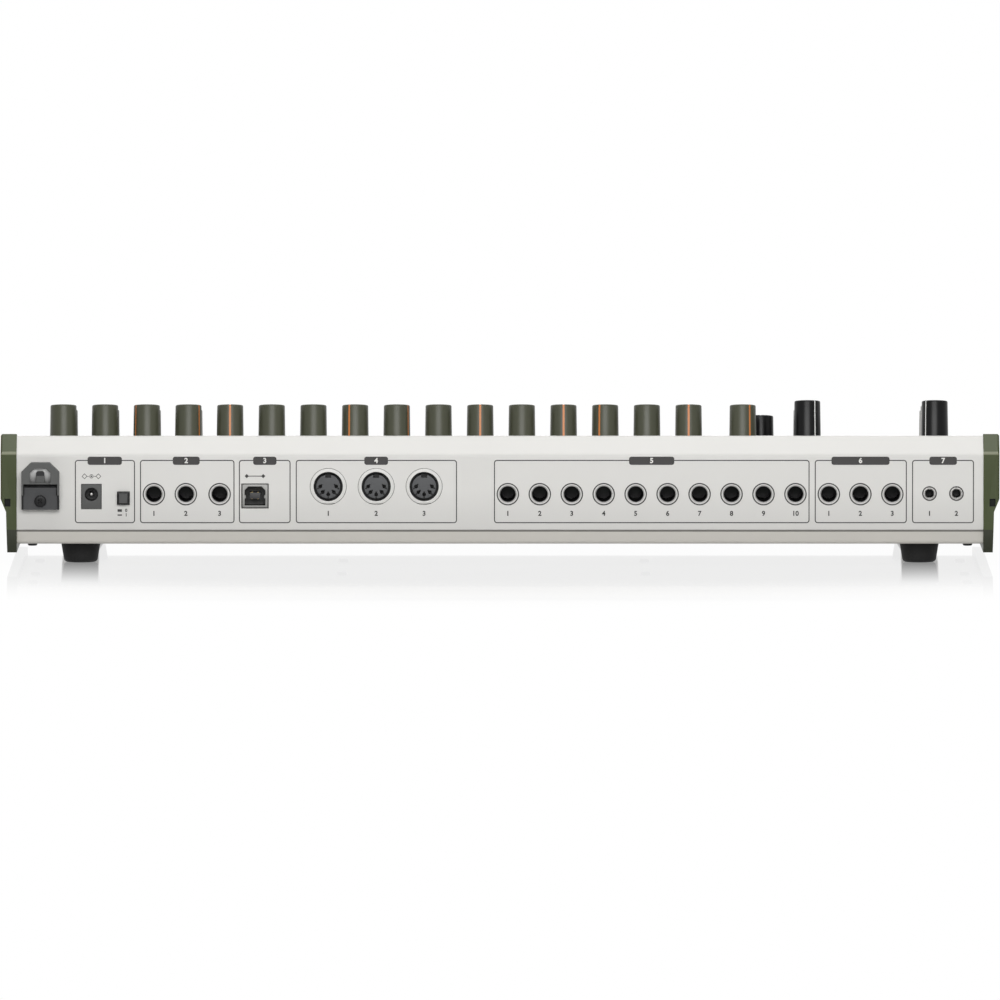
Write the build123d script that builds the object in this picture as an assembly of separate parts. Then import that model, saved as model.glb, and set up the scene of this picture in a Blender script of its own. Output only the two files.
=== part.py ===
from build123d import *
import os
from math import cos, radians, sin, tan

os.makedirs("parts", exist_ok=True)

# Desktop drum machine. Millimetres, +Z up, standing on Z = 0. The player sits on the -Y side,
# the sockets face +Y. The origin is under the middle of the box that holds the whole machine.

# ---- Case ----
WIDTH = 497.0              # over both end cheeks
DEPTH = 265.0              # front of the cheeks to the back of the cord clamp
REAR_HEIGHT = 55.0         # table to the fold above the socket panel
CREST_HEIGHT = 64.1        # table to the fold between bevel and top panel
CREST_SETBACK = 8.0        # how far the crest lies in front of the socket panel
PANEL_TILT = 7.5           # degrees, the top panel falls towards the player
COVER_SHEET = 1.5
TRAY_SHEET = 1.5
BEND = 2.5                 # outside radius of the folds
TRAY_BAND = 7.3            # height of the tray that shows under the cover
TRAY_RAKE = 2.5            # how far that band leans inwards
TRAY_UPSTAND = 7.4         # lip of the tray inside the cover
SEAM_GAP = 0.2             # between the cover and the tray lip
END_WALL_GAP = 0.5         # between the cover and the tray's end walls

# ---- End cheeks ----
CHEEK_THICKNESS = 8.0
CHEEK_MARGIN = 0.8         # the cheek stands proud of the sheet metal all round
CHEEK_FRONT_MARGIN = 2.0
CHEEK_BOTTOM = 6.0         # table to the underside
CHEEK_HEEL = 5.0           # how far the lower ends lean in
UNDERCUT_HEIGHT = 33.0     # where the outside starts to slope in, at the back
UNDERCUT_FALL = 3.1        # degrees, that line falls to the front
UNDERCUT_DROP = 6.5
UNDERCUT_IN = 2.7
CHEEK_TOE_IN = 3.2         # how far the bottom edge is in from the outside
CHEEK_POCKET = 2.8         # depth moulded out behind
CHEEK_RIM = 2.2            # land around that pocket, inside the sheet
CHEEK_NOTCH_WIDTH = 3.0
CHEEK_NOTCH_HEIGHT = 3.8
CHEEK_NOTCH_DEPTH = 1.5
CHEEK_EDGE = 0.8           # small bevel on the outside edges
BOSS_DIAMETER = 8.0

# ---- Feet and fasteners ----
FOOT_HEIGHT = 10.3
FOOT_TOP_DIAMETER = 19.8
FOOT_BOTTOM_DIAMETER = 16.4
FOOT_ROUND = 1.6
FOOT_STEM_DIAMETER = 6.0
FOOT_END_INSET = 31.4      # from the end of the sheet metal
FOOT_REAR_INSET = 27.0     # from the socket panel
FOOT_FRONT_INSET = 30.0
FOOT_FIT = 0.1
SCREW_DIAMETER = 3.0
SCREW_HEAD_DIAMETER = 4.8
SCREW_HEAD_HEIGHT = 1.7
SCREW_LENGTH = 6.0
SCREW_RECESS = 1.6         # across the cross recess
SCREW_RECESS_DEPTH = 0.9
SCREW_CLEARANCE = 0.2      # radial, in a through hole
THREAD_FIT = 0.0           # radial, between a screw and its thread
PILLAR_DIAMETER = 6.0
PILLAR_END_INSET = 7.5
PILLAR_REAR_DEPTH = 18.0   # the two rear rows of pillars, from the socket panel
PILLAR_MIDDLE_DEPTH = 88.0
PILLAR_BORE = 9.0          # depth of thread
CHEEK_SCREW_DROP = 16.0    # cheek screws below the top panel
CHEEK_SCREW_END_INSET = 32.0

# ---- Boards ----
BOARD = 1.6
BOARD_DROP = 10.0          # underside of the top panel to the control board
BOARD_END_GAP = 12.5
BOARD_CREST_GAP = 6.0
BOARD_FRONT_GAP = 6.0
BOARD_PILLAR_CLEARANCE = 1.0
STANDOFF_DIAMETER = 5.5
STANDOFF_REAR = 29.0       # rear standoffs, from the crest along the panel
JACK_BOARD_HEIGHT = 27.5   # table to its upper face
JACK_BOARD_DEPTH = 46.0
JACK_BOARD_SIDE = 2.0      # board beyond the outermost pieces on it
JACK_BOARD_REAR_GAP = 1.0
POST_DIAMETER = 6.0
POST_FRONT_INSET = 5.0     # posts, from the board's front edge
POST_END_INSET = 100.0
POST_INNER_X = 30.0
RIBBON_WIDTH = 30.0
RIBBON_THICKNESS = 0.6
RIBBON_SOCKET_HEIGHT = 5.0
RIBBON_SOCKET_DEPTH = 4.0
RIBBON_SOCKET_SIDE = 2.0
RIBBON_INSET = 6.0         # from the jack board's front edge
RIBBON_SET_BACK = 5.0      # sideways step of the ribbon on its way up

# ---- Knobs ----
LEVEL_COUNT = 16
LEVEL_FIRST_INSET = 146.5  # first level knob from the volume end of the sheet metal
LEVEL_END_INSET = 22.9     # last level knob from the other end
ROW_FIRST = 14.0           # knob rows, from the crest along the panel
ROW_SECOND = 44.0
ROW_THIRD = 74.0
DECAY_COUNT = 4            # second row, behind the last level knobs
ACCENT_INSET = 119.5       # knobs beside them, from the volume end
TEMPO_INSET = 87.3
DATA_INSET = 110.3
VOLUME_INSET = 23.8
KNOB_GAP = 1.0             # under the skirt
KNOB_TOP_DIAMETER = 12.6
KNOB_BASE_DIAMETER = 13.4
KNOB_HEIGHT = 15.4
TALL_TOP_DIAMETER = 12.4
TALL_BASE_DIAMETER = 13.5
TALL_HEIGHT = 17.5
DATA_TOP_DIAMETER = 12.6
DATA_BASE_DIAMETER = 13.2
DATA_HEIGHT = 12.4
KNOB_ROUND = 0.7
KNOB_ROOF = 2.5            # solid top above the spindle
KNOB_SKIRT = 1.4           # wall around the hollow underside
KNOB_HUB_DIAMETER = 8.4
POINTER_WIDTH = 1.2
POINTER_DEPTH = 0.3
POINTER_INNER = 2.0        # where the line starts on the top
SPINDLE_DIAMETER = 6.0
SPINDLE_RUNNING_FIT = 0.08
SPINDLE_CAP_FIT = 0.02     # radial, in the cap that is pressed on it
SPINDLE_END_FLOAT = 0.3
BUSHING_DIAMETER = 7.2
BUSHING_HOLE_CLEARANCE = 0.3
POT_SIDE = 9.6
POT_HEIGHT = 6.5
POT_FLOOR = 1.2
# where each pointer rests, degrees from straight back, positive towards the volume side
LEVEL_RESTS = (0, -130, -27, 0, 150, 0, -120, 60, -27, 120, 140, 0, 56, -57, 130, 150)
DECAY_RESTS = (-40, 20, 130, 150)

# ---- Keys and buttons ----
STEP_COUNT = 16
KEYS_PER_BANK = 4
KEY_WIDTH = 19.4
KEY_LENGTH = 28.0
KEY_ROW_INSET = 27.1       # key row, from the front edge of the panel
KEY_END_INSET = 21.5
KEY_BLOCK_GAP = 6.2        # extra space between the stop button and the first step key
KEY_RISE = 4.0
KEY_TRAVEL = 1.5
KEY_ROUND = 1.0
BUTTON_WIDTH = 14.0
BUTTON_LENGTH = 7.0
BUTTON_RISE = 2.2
BUTTON_TRAVEL = 1.0
BUTTON_ROUND = 0.5
PATTERN_ROW_INSET = 67.1   # from the front edge of the panel
FUNCTION_ROWS = (118.0, 142.0)  # from the crest along the panel
FUNCTION_COLUMNS = 10
WINDOW_GAP = 0.4           # around each key in its window
FLANGE_OVERHANG = 0.8
FLANGE_THICKNESS = 1.2
FLANGE_GAP = 0.3           # under the panel
STEM_SIDE = 4.0
SWITCH_SIDE = 6.0
SWITCH_HEIGHT = 3.8
PLUNGER_DIAMETER = 3.4
PRESS_GAP = 0.3            # left over a switch when its key is fully down
LIGHT_ROW_INSET = 51.1     # from the front edge of the panel
LIGHT_DIAMETER = 3.0
LIGHT_FIT = 0.1
LIGHT_RISE = 0.8
LIGHT_COLLAR = 0.4
LIGHT_COLLAR_HEIGHT = 1.0

# ---- Display ----
DISPLAY_INSET = 129.5      # its middle, from the volume end of the sheet metal
DISPLAY_ROW = 130.0        # its middle, from the crest along the panel
DISPLAY_WIDTH = 100.0
DISPLAY_LENGTH = 32.0
DISPLAY_FIT = 0.2
DISPLAY_BORDER = 3.0       # module beyond the window
DISPLAY_MODULE_HEIGHT = 6.0
DISPLAY_FOOT_SIDE = 5.0

# ---- Sockets: X position as seen from behind, height above the table ----
PHONE_HEIGHT = 35.3
PHONE_NOSE_DIAMETER = 10.5
PHONE_MOUTH_DIAMETER = 7.6
PHONE_BORE = 6.5
PHONE_BODY_WIDTH = 12.6
PHONE_BODY_TOP = 6.7       # above the axis
PHONE_BODY_LENGTH = 27.0
PHONE_BACK_WALL = 1.5
PHONE_MAIN_END_INSETS = (68.3, 84.2, 101.0)
VOICE_COUNT = 10
VOICE_FIRST = 3.9
VOICE_LAST_END_INSET = 93.5
TRIGGER_END_INSETS = (76.9, 61.2, 45.3)
SYNC_END_INSETS = (26.8, 13.4)
SYNC_HEIGHT = 35.6
SYNC_NOSE_DIAMETER = 6.7
SYNC_BORE = 3.6
SYNC_MOUTH_DIAMETER = 4.2
SYNC_BODY_WIDTH = 8.0
SYNC_BODY_LENGTH = 12.0
SYNC_BACK_WALL = 1.2
MIDI_COUNT = 3
MIDI_PITCH = 23.85
MIDI_SHIFT = -2.6          # off the middle between the USB and the first voice socket
MIDI_HEIGHT = 39.1
MIDI_FLANGE_DIAMETER = 17.9
MIDI_FLAT = 8.2            # the flange is cut off flat this far below the axis
MIDI_BODY_WIDTH = 18.8
MIDI_BODY_TOP = 9.0
MIDI_BODY_LENGTH = 14.0
MIDI_RING_OUTER = 14.4
MIDI_RING_INNER = 12.4
MIDI_RING_DEPTH = 9.0
MIDI_FACE_RECESS = 0.6
MIDI_PIN_RADIUS = 4.0
MIDI_PIN_BORE = 1.6
MIDI_PIN_ANGLES = (0, 45, 90, 135, 180)
MIDI_KEYWAY_WIDTH = 3.0
MIDI_KEYWAY_DEPTH = 1.2
SOCKET_PANEL_CLEARANCE = 0.2   # radial, between a socket and its hole in the panel
SOCKET_PROUD = 0.2         # sockets end this far behind the panel's outside
USB_END_INSET = 118.6
USB_HEIGHT = 34.4
USB_WIDTH = 12.9
USB_TALL = 11.7
USB_LENGTH = 16.0
USB_CAVITY_WIDTH = 9.4
USB_CAVITY_TALL = 8.8
USB_CAVITY_DEPTH = 11.0
USB_CHAMFER = 2.0
USB_TONGUE_WIDTH = 5.6
USB_TONGUE_TALL = 3.2
USB_TONGUE_SHORT = 1.0     # tongue ends this far inside the mouth
DC_END_INSET = 37.2
DC_AXIS_HEIGHT = 35.2
DC_WIDTH = 9.9
DC_TALL = 12.3
DC_LENGTH = 14.0
DC_MIDDLE_DROP = 1.1       # the face's middle lies this far below the axis
DC_BORE = 6.4
DC_BORE_DEPTH = 10.0
DC_PIN = 2.1
DC_PIN_SHORT = 1.0
POWER_END_INSET = 53.1
POWER_HEIGHT = 33.3
POWER_WIDTH = 5.6
POWER_TALL = 5.9
POWER_STANDOUT = 4.0
POWER_TRAVEL = 3.0
POWER_HEAD_LENGTH = 7.0
POWER_HOLE_GAP = 0.4
POWER_EDGE = 0.8
POWER_STEM = 3.0
POWER_STEM_LENGTH = 8.0
POWER_STEM_GAP = 0.3
POWER_SWITCH_SIDE = 8.4
POWER_SWITCH_LENGTH = 14.0

# ---- Cord clamp on the socket panel ----
CLAMP_END_INSET = 11.9
CLAMP_STANDOUT = 8.0
CLAMP_WIDTH = 18.8
CLAMP_BOTTOM = 27.9
CLAMP_HEIGHT = 23.4
CLAMP_CORNER = 4.7
CLAMP_SHELF = 40.6         # table to the top of the lower block
CLAMP_EYE_WIDTH = 10.1
CLAMP_EYE_BOTTOM = 41.3
CLAMP_EYE_TOP = 48.4
CLAMP_EYE_CORNER = 2.2
CLAMP_SIDE = 0.95          # side walls beside the block
CLAMP_SIDE_STEP = 35.0     # table to the step in the side walls
CLAMP_STEP_DEPTH = 1.6
CLAMP_BLOCK_BACK = 2.2     # block face behind the frame's face
CLAMP_PEG_WIDTH = 4.6
CLAMP_PEG_TOP = 47.0
CLAMP_PEG_FROM_PANEL = 1.5
CLAMP_PEG_THICKNESS = 3.5
CLAMP_SCREW_HEIGHT = 32.1
CLAMP_SCREW_HEAD = 5.9
CLAMP_SCREW_HEAD_HEIGHT = 1.6
CLAMP_SCREW_DIAMETER = 3.0
CLAMP_SCREW_GRIP = 10.0

# ---- Places worked out from the sizes above ----
BODY_HALF = WIDTH / 2 - CHEEK_THICKNESS
REAR_Y = DEPTH / 2 - CLAMP_STANDOUT
FRONT_Y = CHEEK_FRONT_MARGIN - DEPTH / 2
CREST_Y = REAR_Y - CREST_SETBACK
FRONT_HEIGHT = CREST_HEIGHT - (CREST_Y - FRONT_Y) * tan(radians(PANEL_TILT))
PANEL_LENGTH = (CREST_Y - FRONT_Y) / cos(radians(PANEL_TILT))
SEAM_HEIGHT = FOOT_HEIGHT + TRAY_BAND
TRAY_FLOOR = FOOT_HEIGHT + TRAY_SHEET
TRAY_REAR_Y = REAR_Y - COVER_SHEET - SEAM_GAP
TRAY_FRONT_Y = FRONT_Y + COVER_SHEET + SEAM_GAP
BOARD_TOP = -COVER_SHEET - BOARD_DROP
BOARD_UNDER = BOARD_TOP - BOARD
JACK_BOARD_UNDER = JACK_BOARD_HEIGHT - BOARD

TOP_PANEL = Plane(
    origin=(0, CREST_Y, CREST_HEIGHT),
    x_dir=(1, 0, 0),
    z_dir=(0, -sin(radians(PANEL_TILT)), cos(radians(PANEL_TILT))),
)
SOCKET_PANEL = Plane(origin=(0, REAR_Y, 0), x_dir=(-1, 0, 0), z_dir=(0, 1, 0))


def on_top(x, row, height=0.0):
    """A place over the top panel: row counts from the crest towards the player."""
    return TOP_PANEL.location * Pos(x, -row, height)


def on_rear(across, height, out=0.0):
    """A place on the socket panel as seen from behind: across counts to the right."""
    return SOCKET_PANEL.location * Pos(across, height, out)


def spread(first, last, count):
    return [first + (last - first) * i / (count - 1) for i in range(count)]


# knob places
VOLUME_X = VOLUME_INSET - BODY_HALF
TEMPO_X = TEMPO_INSET - BODY_HALF
ACCENT_X = ACCENT_INSET - BODY_HALF
DATA_X = DATA_INSET - BODY_HALF
DISPLAY_X = DISPLAY_INSET - BODY_HALF
LEVEL_XS = spread(LEVEL_FIRST_INSET - BODY_HALF, BODY_HALF - LEVEL_END_INSET, LEVEL_COUNT)
LEVEL_PLACES = [(x, ROW_FIRST) for x in LEVEL_XS]
DECAY_PLACES = [(x, ROW_SECOND) for x in LEVEL_XS[-DECAY_COUNT:]]

# key places: start, stop and the step keys share one pitch
KEY_PITCH = (2 * (BODY_HALF - KEY_END_INSET) - KEY_BLOCK_GAP) / (STEP_COUNT + 1)
START_X = KEY_END_INSET - BODY_HALF
STOP_X = START_X + KEY_PITCH
STEP_XS = [STOP_X + KEY_BLOCK_GAP + KEY_PITCH * (i + 1) for i in range(STEP_COUNT)]
KEY_ROW = PANEL_LENGTH - KEY_ROW_INSET
LIGHT_ROW = PANEL_LENGTH - LIGHT_ROW_INSET
PATTERN_ROW = PANEL_LENGTH - PATTERN_ROW_INSET
FUNCTION_XS = [START_X, STOP_X] + STEP_XS[-FUNCTION_COLUMNS:]
FUNCTION_PLACES = [(x, row) for row in FUNCTION_ROWS for x in FUNCTION_XS]
PATTERN_PLACES = [(x, PATTERN_ROW) for x in STEP_XS]
LIGHT_PLACES = [(x, LIGHT_ROW) for x in [START_X] + STEP_XS]

# socket places across the back, seen from behind
USB_ACROSS = USB_END_INSET - BODY_HALF
DC_ACROSS = DC_END_INSET - BODY_HALF
POWER_ACROSS = POWER_END_INSET - BODY_HALF
CLAMP_ACROSS = CLAMP_END_INSET - BODY_HALF
PHONE_PLACES = (
    [inset - BODY_HALF for inset in PHONE_MAIN_END_INSETS]
    + spread(VOICE_FIRST, BODY_HALF - VOICE_LAST_END_INSET, VOICE_COUNT)
    + [BODY_HALF - inset for inset in TRIGGER_END_INSETS]
)
SYNC_PLACES = [BODY_HALF - inset for inset in SYNC_END_INSETS]
MIDI_MIDDLE = (USB_ACROSS + VOICE_FIRST) / 2 + MIDI_SHIFT
MIDI_PLACES = [MIDI_MIDDLE + MIDI_PITCH * (i - (MIDI_COUNT - 1) / 2) for i in range(MIDI_COUNT)]

# jack board outline
JACK_BOARD_REAR_Y = REAR_Y - COVER_SHEET - JACK_BOARD_REAR_GAP
JACK_BOARD_FRONT_Y = JACK_BOARD_REAR_Y - JACK_BOARD_DEPTH
JACK_BOARD_RIGHT_X = -DC_ACROSS + DC_WIDTH / 2 + JACK_BOARD_SIDE
JACK_BOARD_LEFT_X = -(BODY_HALF - PILLAR_END_INSET - PILLAR_DIAMETER / 2 - BOARD_PILLAR_CLEARANCE)

# fastener places: those under the keys stand between two rows and two columns of keys
PILLAR_FRONT_Y = CREST_Y - (PATTERN_ROW + LIGHT_ROW) / 2 * cos(radians(PANEL_TILT))
PILLAR_END_X = BODY_HALF - PILLAR_END_INSET
PILLAR_XS = (
    -PILLAR_END_X,
    STEP_XS[3] + KEY_PITCH / 2,
    STEP_XS[9] + KEY_PITCH / 2,
    PILLAR_END_X,
)
PILLAR_PLACES = [(x, REAR_Y - PILLAR_REAR_DEPTH) for x in (-PILLAR_END_X, PILLAR_END_X)] + [
    (x, y) for y in (REAR_Y - PILLAR_MIDDLE_DEPTH, PILLAR_FRONT_Y) for x in PILLAR_XS
]
FOOT_X = BODY_HALF - FOOT_END_INSET
FOOT_PLACES = [
    (x, y)
    for y in (REAR_Y - FOOT_REAR_INSET, FRONT_Y + FOOT_FRONT_INSET)
    for x in (-FOOT_X, FOOT_X)
]
CHEEK_SCREW_YS = spread(FRONT_Y + CHEEK_SCREW_END_INSET, REAR_Y - CHEEK_SCREW_END_INSET, 3)
STANDOFF_XS = (
    START_X + KEY_PITCH / 2,
    STEP_XS[4] + KEY_PITCH / 2,
    STEP_XS[8] + KEY_PITCH / 2,
    STEP_XS[-1] - KEY_PITCH / 2,
)
STANDOFF_FRONT = (FUNCTION_ROWS[-1] + PATTERN_ROW) / 2
STANDOFF_PLACES = [(x, row) for row in (STANDOFF_REAR, STANDOFF_FRONT) for x in STANDOFF_XS]
POST_PLACES = [
    (x, JACK_BOARD_FRONT_Y + POST_FRONT_INSET)
    for x in (
        JACK_BOARD_LEFT_X + POST_END_INSET,
        -POST_INNER_X,
        POST_INNER_X,
        JACK_BOARD_RIGHT_X - POST_END_INSET,
    )
]


def panel_height(y):
    """Height of the top panel's outside above the table."""
    return CREST_HEIGHT - (CREST_Y - y) * tan(radians(PANEL_TILT))


def solids_of(shape):
    return list(shape.solids())


def save(name, pieces):
    """Writes one named sub-part: a single piece, or a group of separate ones."""
    solids = [solid for piece in pieces for solid in solids_of(piece)]
    shape = solids[0] if len(solids) == 1 else Compound(children=solids)
    export_step(shape, f"parts/{name}.step")


def side_profile(points):
    """A closed outline in the Y-Z plane."""
    return Plane.YZ.location * make_face(Polyline(*points, close=True).edges())


def across_case(face, half_width):
    return extrude(face, amount=half_width, both=True)


def folded_sheet(points, sheet, half_width):
    """Sheet metal folded along the points, its outside on them."""
    outside = FilletPolyline(*points, radius=BEND)
    section = make_face(offset(outside, amount=sheet, side=Side.LEFT, closed=True).edges())
    return across_case(Plane.YZ.location * section, half_width)


# ---- Sheet metal ----
COVER_POINTS = [
    (REAR_Y, SEAM_HEIGHT),
    (REAR_Y, REAR_HEIGHT),
    (CREST_Y, CREST_HEIGHT),
    (FRONT_Y, FRONT_HEIGHT),
    (FRONT_Y, SEAM_HEIGHT),
]
TRAY_POINTS = [
    (TRAY_FRONT_Y, SEAM_HEIGHT + TRAY_UPSTAND),
    (TRAY_FRONT_Y, SEAM_HEIGHT),
    (TRAY_FRONT_Y + TRAY_RAKE, FOOT_HEIGHT),
    (TRAY_REAR_Y - TRAY_RAKE, FOOT_HEIGHT),
    (TRAY_REAR_Y, SEAM_HEIGHT),
    (TRAY_REAR_Y, SEAM_HEIGHT + TRAY_UPSTAND),
]


def case_inside(gap):
    """The room inside the cover and over the tray floor, less a gap to the cover."""
    inner = offset(make_face(Polyline(*COVER_POINTS, close=True).edges()), -COVER_SHEET - gap,
                   kind=Kind.INTERSECTION)
    low = Polyline(
        (TRAY_FRONT_Y + gap, SEAM_HEIGHT + TRAY_UPSTAND),
        (TRAY_FRONT_Y + TRAY_RAKE, FOOT_HEIGHT + TRAY_SHEET / 2),
        (TRAY_REAR_Y - TRAY_RAKE, FOOT_HEIGHT + TRAY_SHEET / 2),
        (TRAY_REAR_Y - gap, SEAM_HEIGHT + TRAY_UPSTAND),
        close=True,
    )
    return Plane.YZ.location * (inner + make_face(low.edges()))


def round_hole(diameter, place, depth):
    return place * Cylinder(diameter / 2, depth)


def top_cover():
    cover = folded_sheet(COVER_POINTS, COVER_SHEET, BODY_HALF)
    through = 4 * COVER_SHEET
    bushing_hole = BUSHING_DIAMETER + 2 * BUSHING_HOLE_CLEARANCE
    cuts = [round_hole(bushing_hole, on_top(x, row), through) for x, row in KNOB_PLACES]
    for places, width, length in KEY_GRIDS:
        window = Box(width + 2 * WINDOW_GAP, length + 2 * WINDOW_GAP, through)
        cuts += [on_top(x, row) * window for x, row in places]
    light_hole = LIGHT_DIAMETER + 2 * LIGHT_FIT
    cuts += [round_hole(light_hole, on_top(x, row), through) for x, row in LIGHT_PLACES]
    display_hole = Box(DISPLAY_WIDTH + 2 * DISPLAY_FIT, DISPLAY_LENGTH + 2 * DISPLAY_FIT, through)
    cuts.append(on_top(DISPLAY_X, DISPLAY_ROW) * display_hole)
    gap = 2 * SOCKET_PANEL_CLEARANCE
    for across in PHONE_PLACES:
        cuts.append(round_hole(PHONE_NOSE_DIAMETER + gap, on_rear(across, PHONE_HEIGHT), through))
    for across in SYNC_PLACES:
        cuts.append(round_hole(SYNC_NOSE_DIAMETER + gap, on_rear(across, SYNC_HEIGHT), through))
    for across in MIDI_PLACES:
        cuts.append(round_hole(MIDI_FLANGE_DIAMETER + gap, on_rear(across, MIDI_HEIGHT), through))
    cuts.append(on_rear(USB_ACROSS, USB_HEIGHT) * Box(USB_WIDTH + gap, USB_TALL + gap, through))
    dc_middle = DC_AXIS_HEIGHT - DC_MIDDLE_DROP
    cuts.append(on_rear(DC_ACROSS, dc_middle) * Box(DC_WIDTH + gap, DC_TALL + gap, through))
    button_gap = 2 * POWER_HOLE_GAP
    button_hole = Box(POWER_WIDTH + button_gap, POWER_TALL + button_gap, through)
    cuts.append(on_rear(POWER_ACROSS, POWER_HEIGHT) * button_hole)
    clamp_hole = CLAMP_SCREW_DIAMETER + 2 * THREAD_FIT
    cuts.append(round_hole(clamp_hole, on_rear(CLAMP_ACROSS, CLAMP_SCREW_HEIGHT), through))
    return cover - cuts


def bottom_tray():
    tray = folded_sheet(TRAY_POINTS, TRAY_SHEET, BODY_HALF)
    inside = case_inside(END_WALL_GAP)
    for side in (-1, 1):
        wall = extrude(inside, amount=TRAY_SHEET)
        inner_face = BODY_HALF - TRAY_SHEET if side > 0 else -BODY_HALF
        tray += Pos(inner_face, 0, 0) * wall
    hole = SCREW_DIAMETER + 2 * SCREW_CLEARANCE
    cuts = [Pos(x, y, TRAY_FLOOR) * Cylinder(hole / 2, 4 * TRAY_SHEET) for x, y in PILLAR_PLACES]
    stem_hole = FOOT_STEM_DIAMETER + 2 * FOOT_FIT
    cuts += [Pos(x, y, TRAY_FLOOR) * Cylinder(stem_hole / 2, 4 * TRAY_SHEET) for x, y in FOOT_PLACES]
    cuts += [
        Pos(side * BODY_HALF, y, panel_height(y) - CHEEK_SCREW_DROP)
        * Rot(0, 90, 0)
        * Cylinder(hole / 2, 4 * TRAY_SHEET)
        for y in CHEEK_SCREW_YS
        for side in (-1, 1)
    ]
    return tray - cuts


# ---- End cheeks ----
def cheek(side):
    """A moulded end: side is +1 at the +X end and -1 at the other."""
    rear_y = REAR_Y + CHEEK_MARGIN
    front_y = FRONT_Y - CHEEK_FRONT_MARGIN
    crest_y = CREST_Y + CHEEK_MARGIN / 2
    crest_height = CREST_HEIGHT + CHEEK_MARGIN
    front_height = crest_height - (crest_y - front_y) * tan(radians(PANEL_TILT))
    outline = side_profile(
        [
            (rear_y, SEAM_HEIGHT),
            (rear_y, REAR_HEIGHT + CHEEK_MARGIN / 2),
            (crest_y, crest_height),
            (front_y, front_height),
            (front_y, SEAM_HEIGHT),
            (front_y + CHEEK_HEEL, CHEEK_BOTTOM),
            (rear_y - CHEEK_HEEL, CHEEK_BOTTOM),
        ]
    )
    blank = extrude(outline, amount=CHEEK_THICKNESS)
    blank = chamfer(blank.faces().sort_by(Axis.X)[-1].edges(), CHEEK_EDGE)
    outer = CHEEK_THICKNESS
    undercut = Polyline(
        (outer + 1, UNDERCUT_HEIGHT),
        (outer, UNDERCUT_HEIGHT),
        (outer - UNDERCUT_IN, UNDERCUT_HEIGHT - UNDERCUT_DROP),
        (outer - CHEEK_TOE_IN, CHEEK_BOTTOM),
        (outer - CHEEK_TOE_IN, -UNDERCUT_HEIGHT),
        (outer + 1, -UNDERCUT_HEIGHT),
        close=True,
    )
    start = Plane(origin=(0, rear_y + 1, 0), x_dir=(1, 0, 0), z_dir=(0, -1, 0))
    blank -= extrude(
        start.location * make_face(undercut.edges()),
        amount=2 * DEPTH,
        dir=(0, -1, -tan(radians(UNDERCUT_FALL))),
    )
    pocket = offset(case_inside(CHEEK_RIM), 0) & side_profile(
        [
            (-DEPTH, TRAY_FLOOR + CHEEK_RIM),
            (DEPTH, TRAY_FLOOR + CHEEK_RIM),
            (DEPTH, 2 * CREST_HEIGHT),
            (-DEPTH, 2 * CREST_HEIGHT),
        ]
    )
    blank -= extrude(pocket, amount=CHEEK_POCKET)
    drill = SCREW_LENGTH - TRAY_SHEET
    for y in CHEEK_SCREW_YS:
        place = Pos(0, y, panel_height(y) - CHEEK_SCREW_DROP) * Rot(0, 90, 0)
        boss = Cylinder(BOSS_DIAMETER / 2, CHEEK_POCKET, align=(Align.CENTER, Align.CENTER, Align.MIN))
        bore = Cylinder(SCREW_DIAMETER / 2 + THREAD_FIT, 2 * drill)
        blank = blank + place * boss - place * bore
    notch_height = UNDERCUT_HEIGHT - CHEEK_NOTCH_HEIGHT / 2
    notch_x = outer - CHEEK_NOTCH_HEIGHT / 2 - CHEEK_NOTCH_WIDTH / 2
    notch = Box(CHEEK_NOTCH_WIDTH, 2 * CHEEK_NOTCH_DEPTH, CHEEK_NOTCH_HEIGHT)
    blank -= Pos(notch_x, rear_y, notch_height) * notch
    placed = Pos(BODY_HALF, 0, 0) * blank
    return placed if side > 0 else mirror(placed, about=Plane.YZ)


# ---- Feet and fasteners ----
def rubber_foot(x, y):
    pad = Cone(
        FOOT_BOTTOM_DIAMETER / 2,
        FOOT_TOP_DIAMETER / 2,
        FOOT_HEIGHT,
        align=(Align.CENTER, Align.CENTER, Align.MIN),
    )
    pad = fillet(pad.edges().sort_by(Axis.Z)[0], FOOT_ROUND)
    stem_length = TRAY_SHEET + FOOT_FIT
    stem = Cylinder(
        FOOT_STEM_DIAMETER / 2, stem_length, align=(Align.CENTER, Align.CENTER, Align.MIN)
    )
    return Pos(x, y, 0) * (pad + Pos(0, 0, FOOT_HEIGHT) * stem)


def pan_screw(head_diameter, head_height, diameter, length):
    """A cross-recess screw with the underside of its head on Z = 0 and its shank along +Z."""
    low = (Align.CENTER, Align.CENTER, Align.MIN)
    high = (Align.CENTER, Align.CENTER, Align.MAX)
    head = Cylinder(head_diameter / 2, head_height, align=high)
    head = fillet(head.edges().sort_by(Axis.Z)[0], head_height / 2)
    slot = Box(SCREW_RECESS, SCREW_RECESS / 4, SCREW_RECESS_DEPTH, align=low)
    recess = Pos(0, 0, -head_height) * (slot + Rot(0, 0, 90) * slot)
    return head + Cylinder(diameter / 2, length, align=low) - recess


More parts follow.
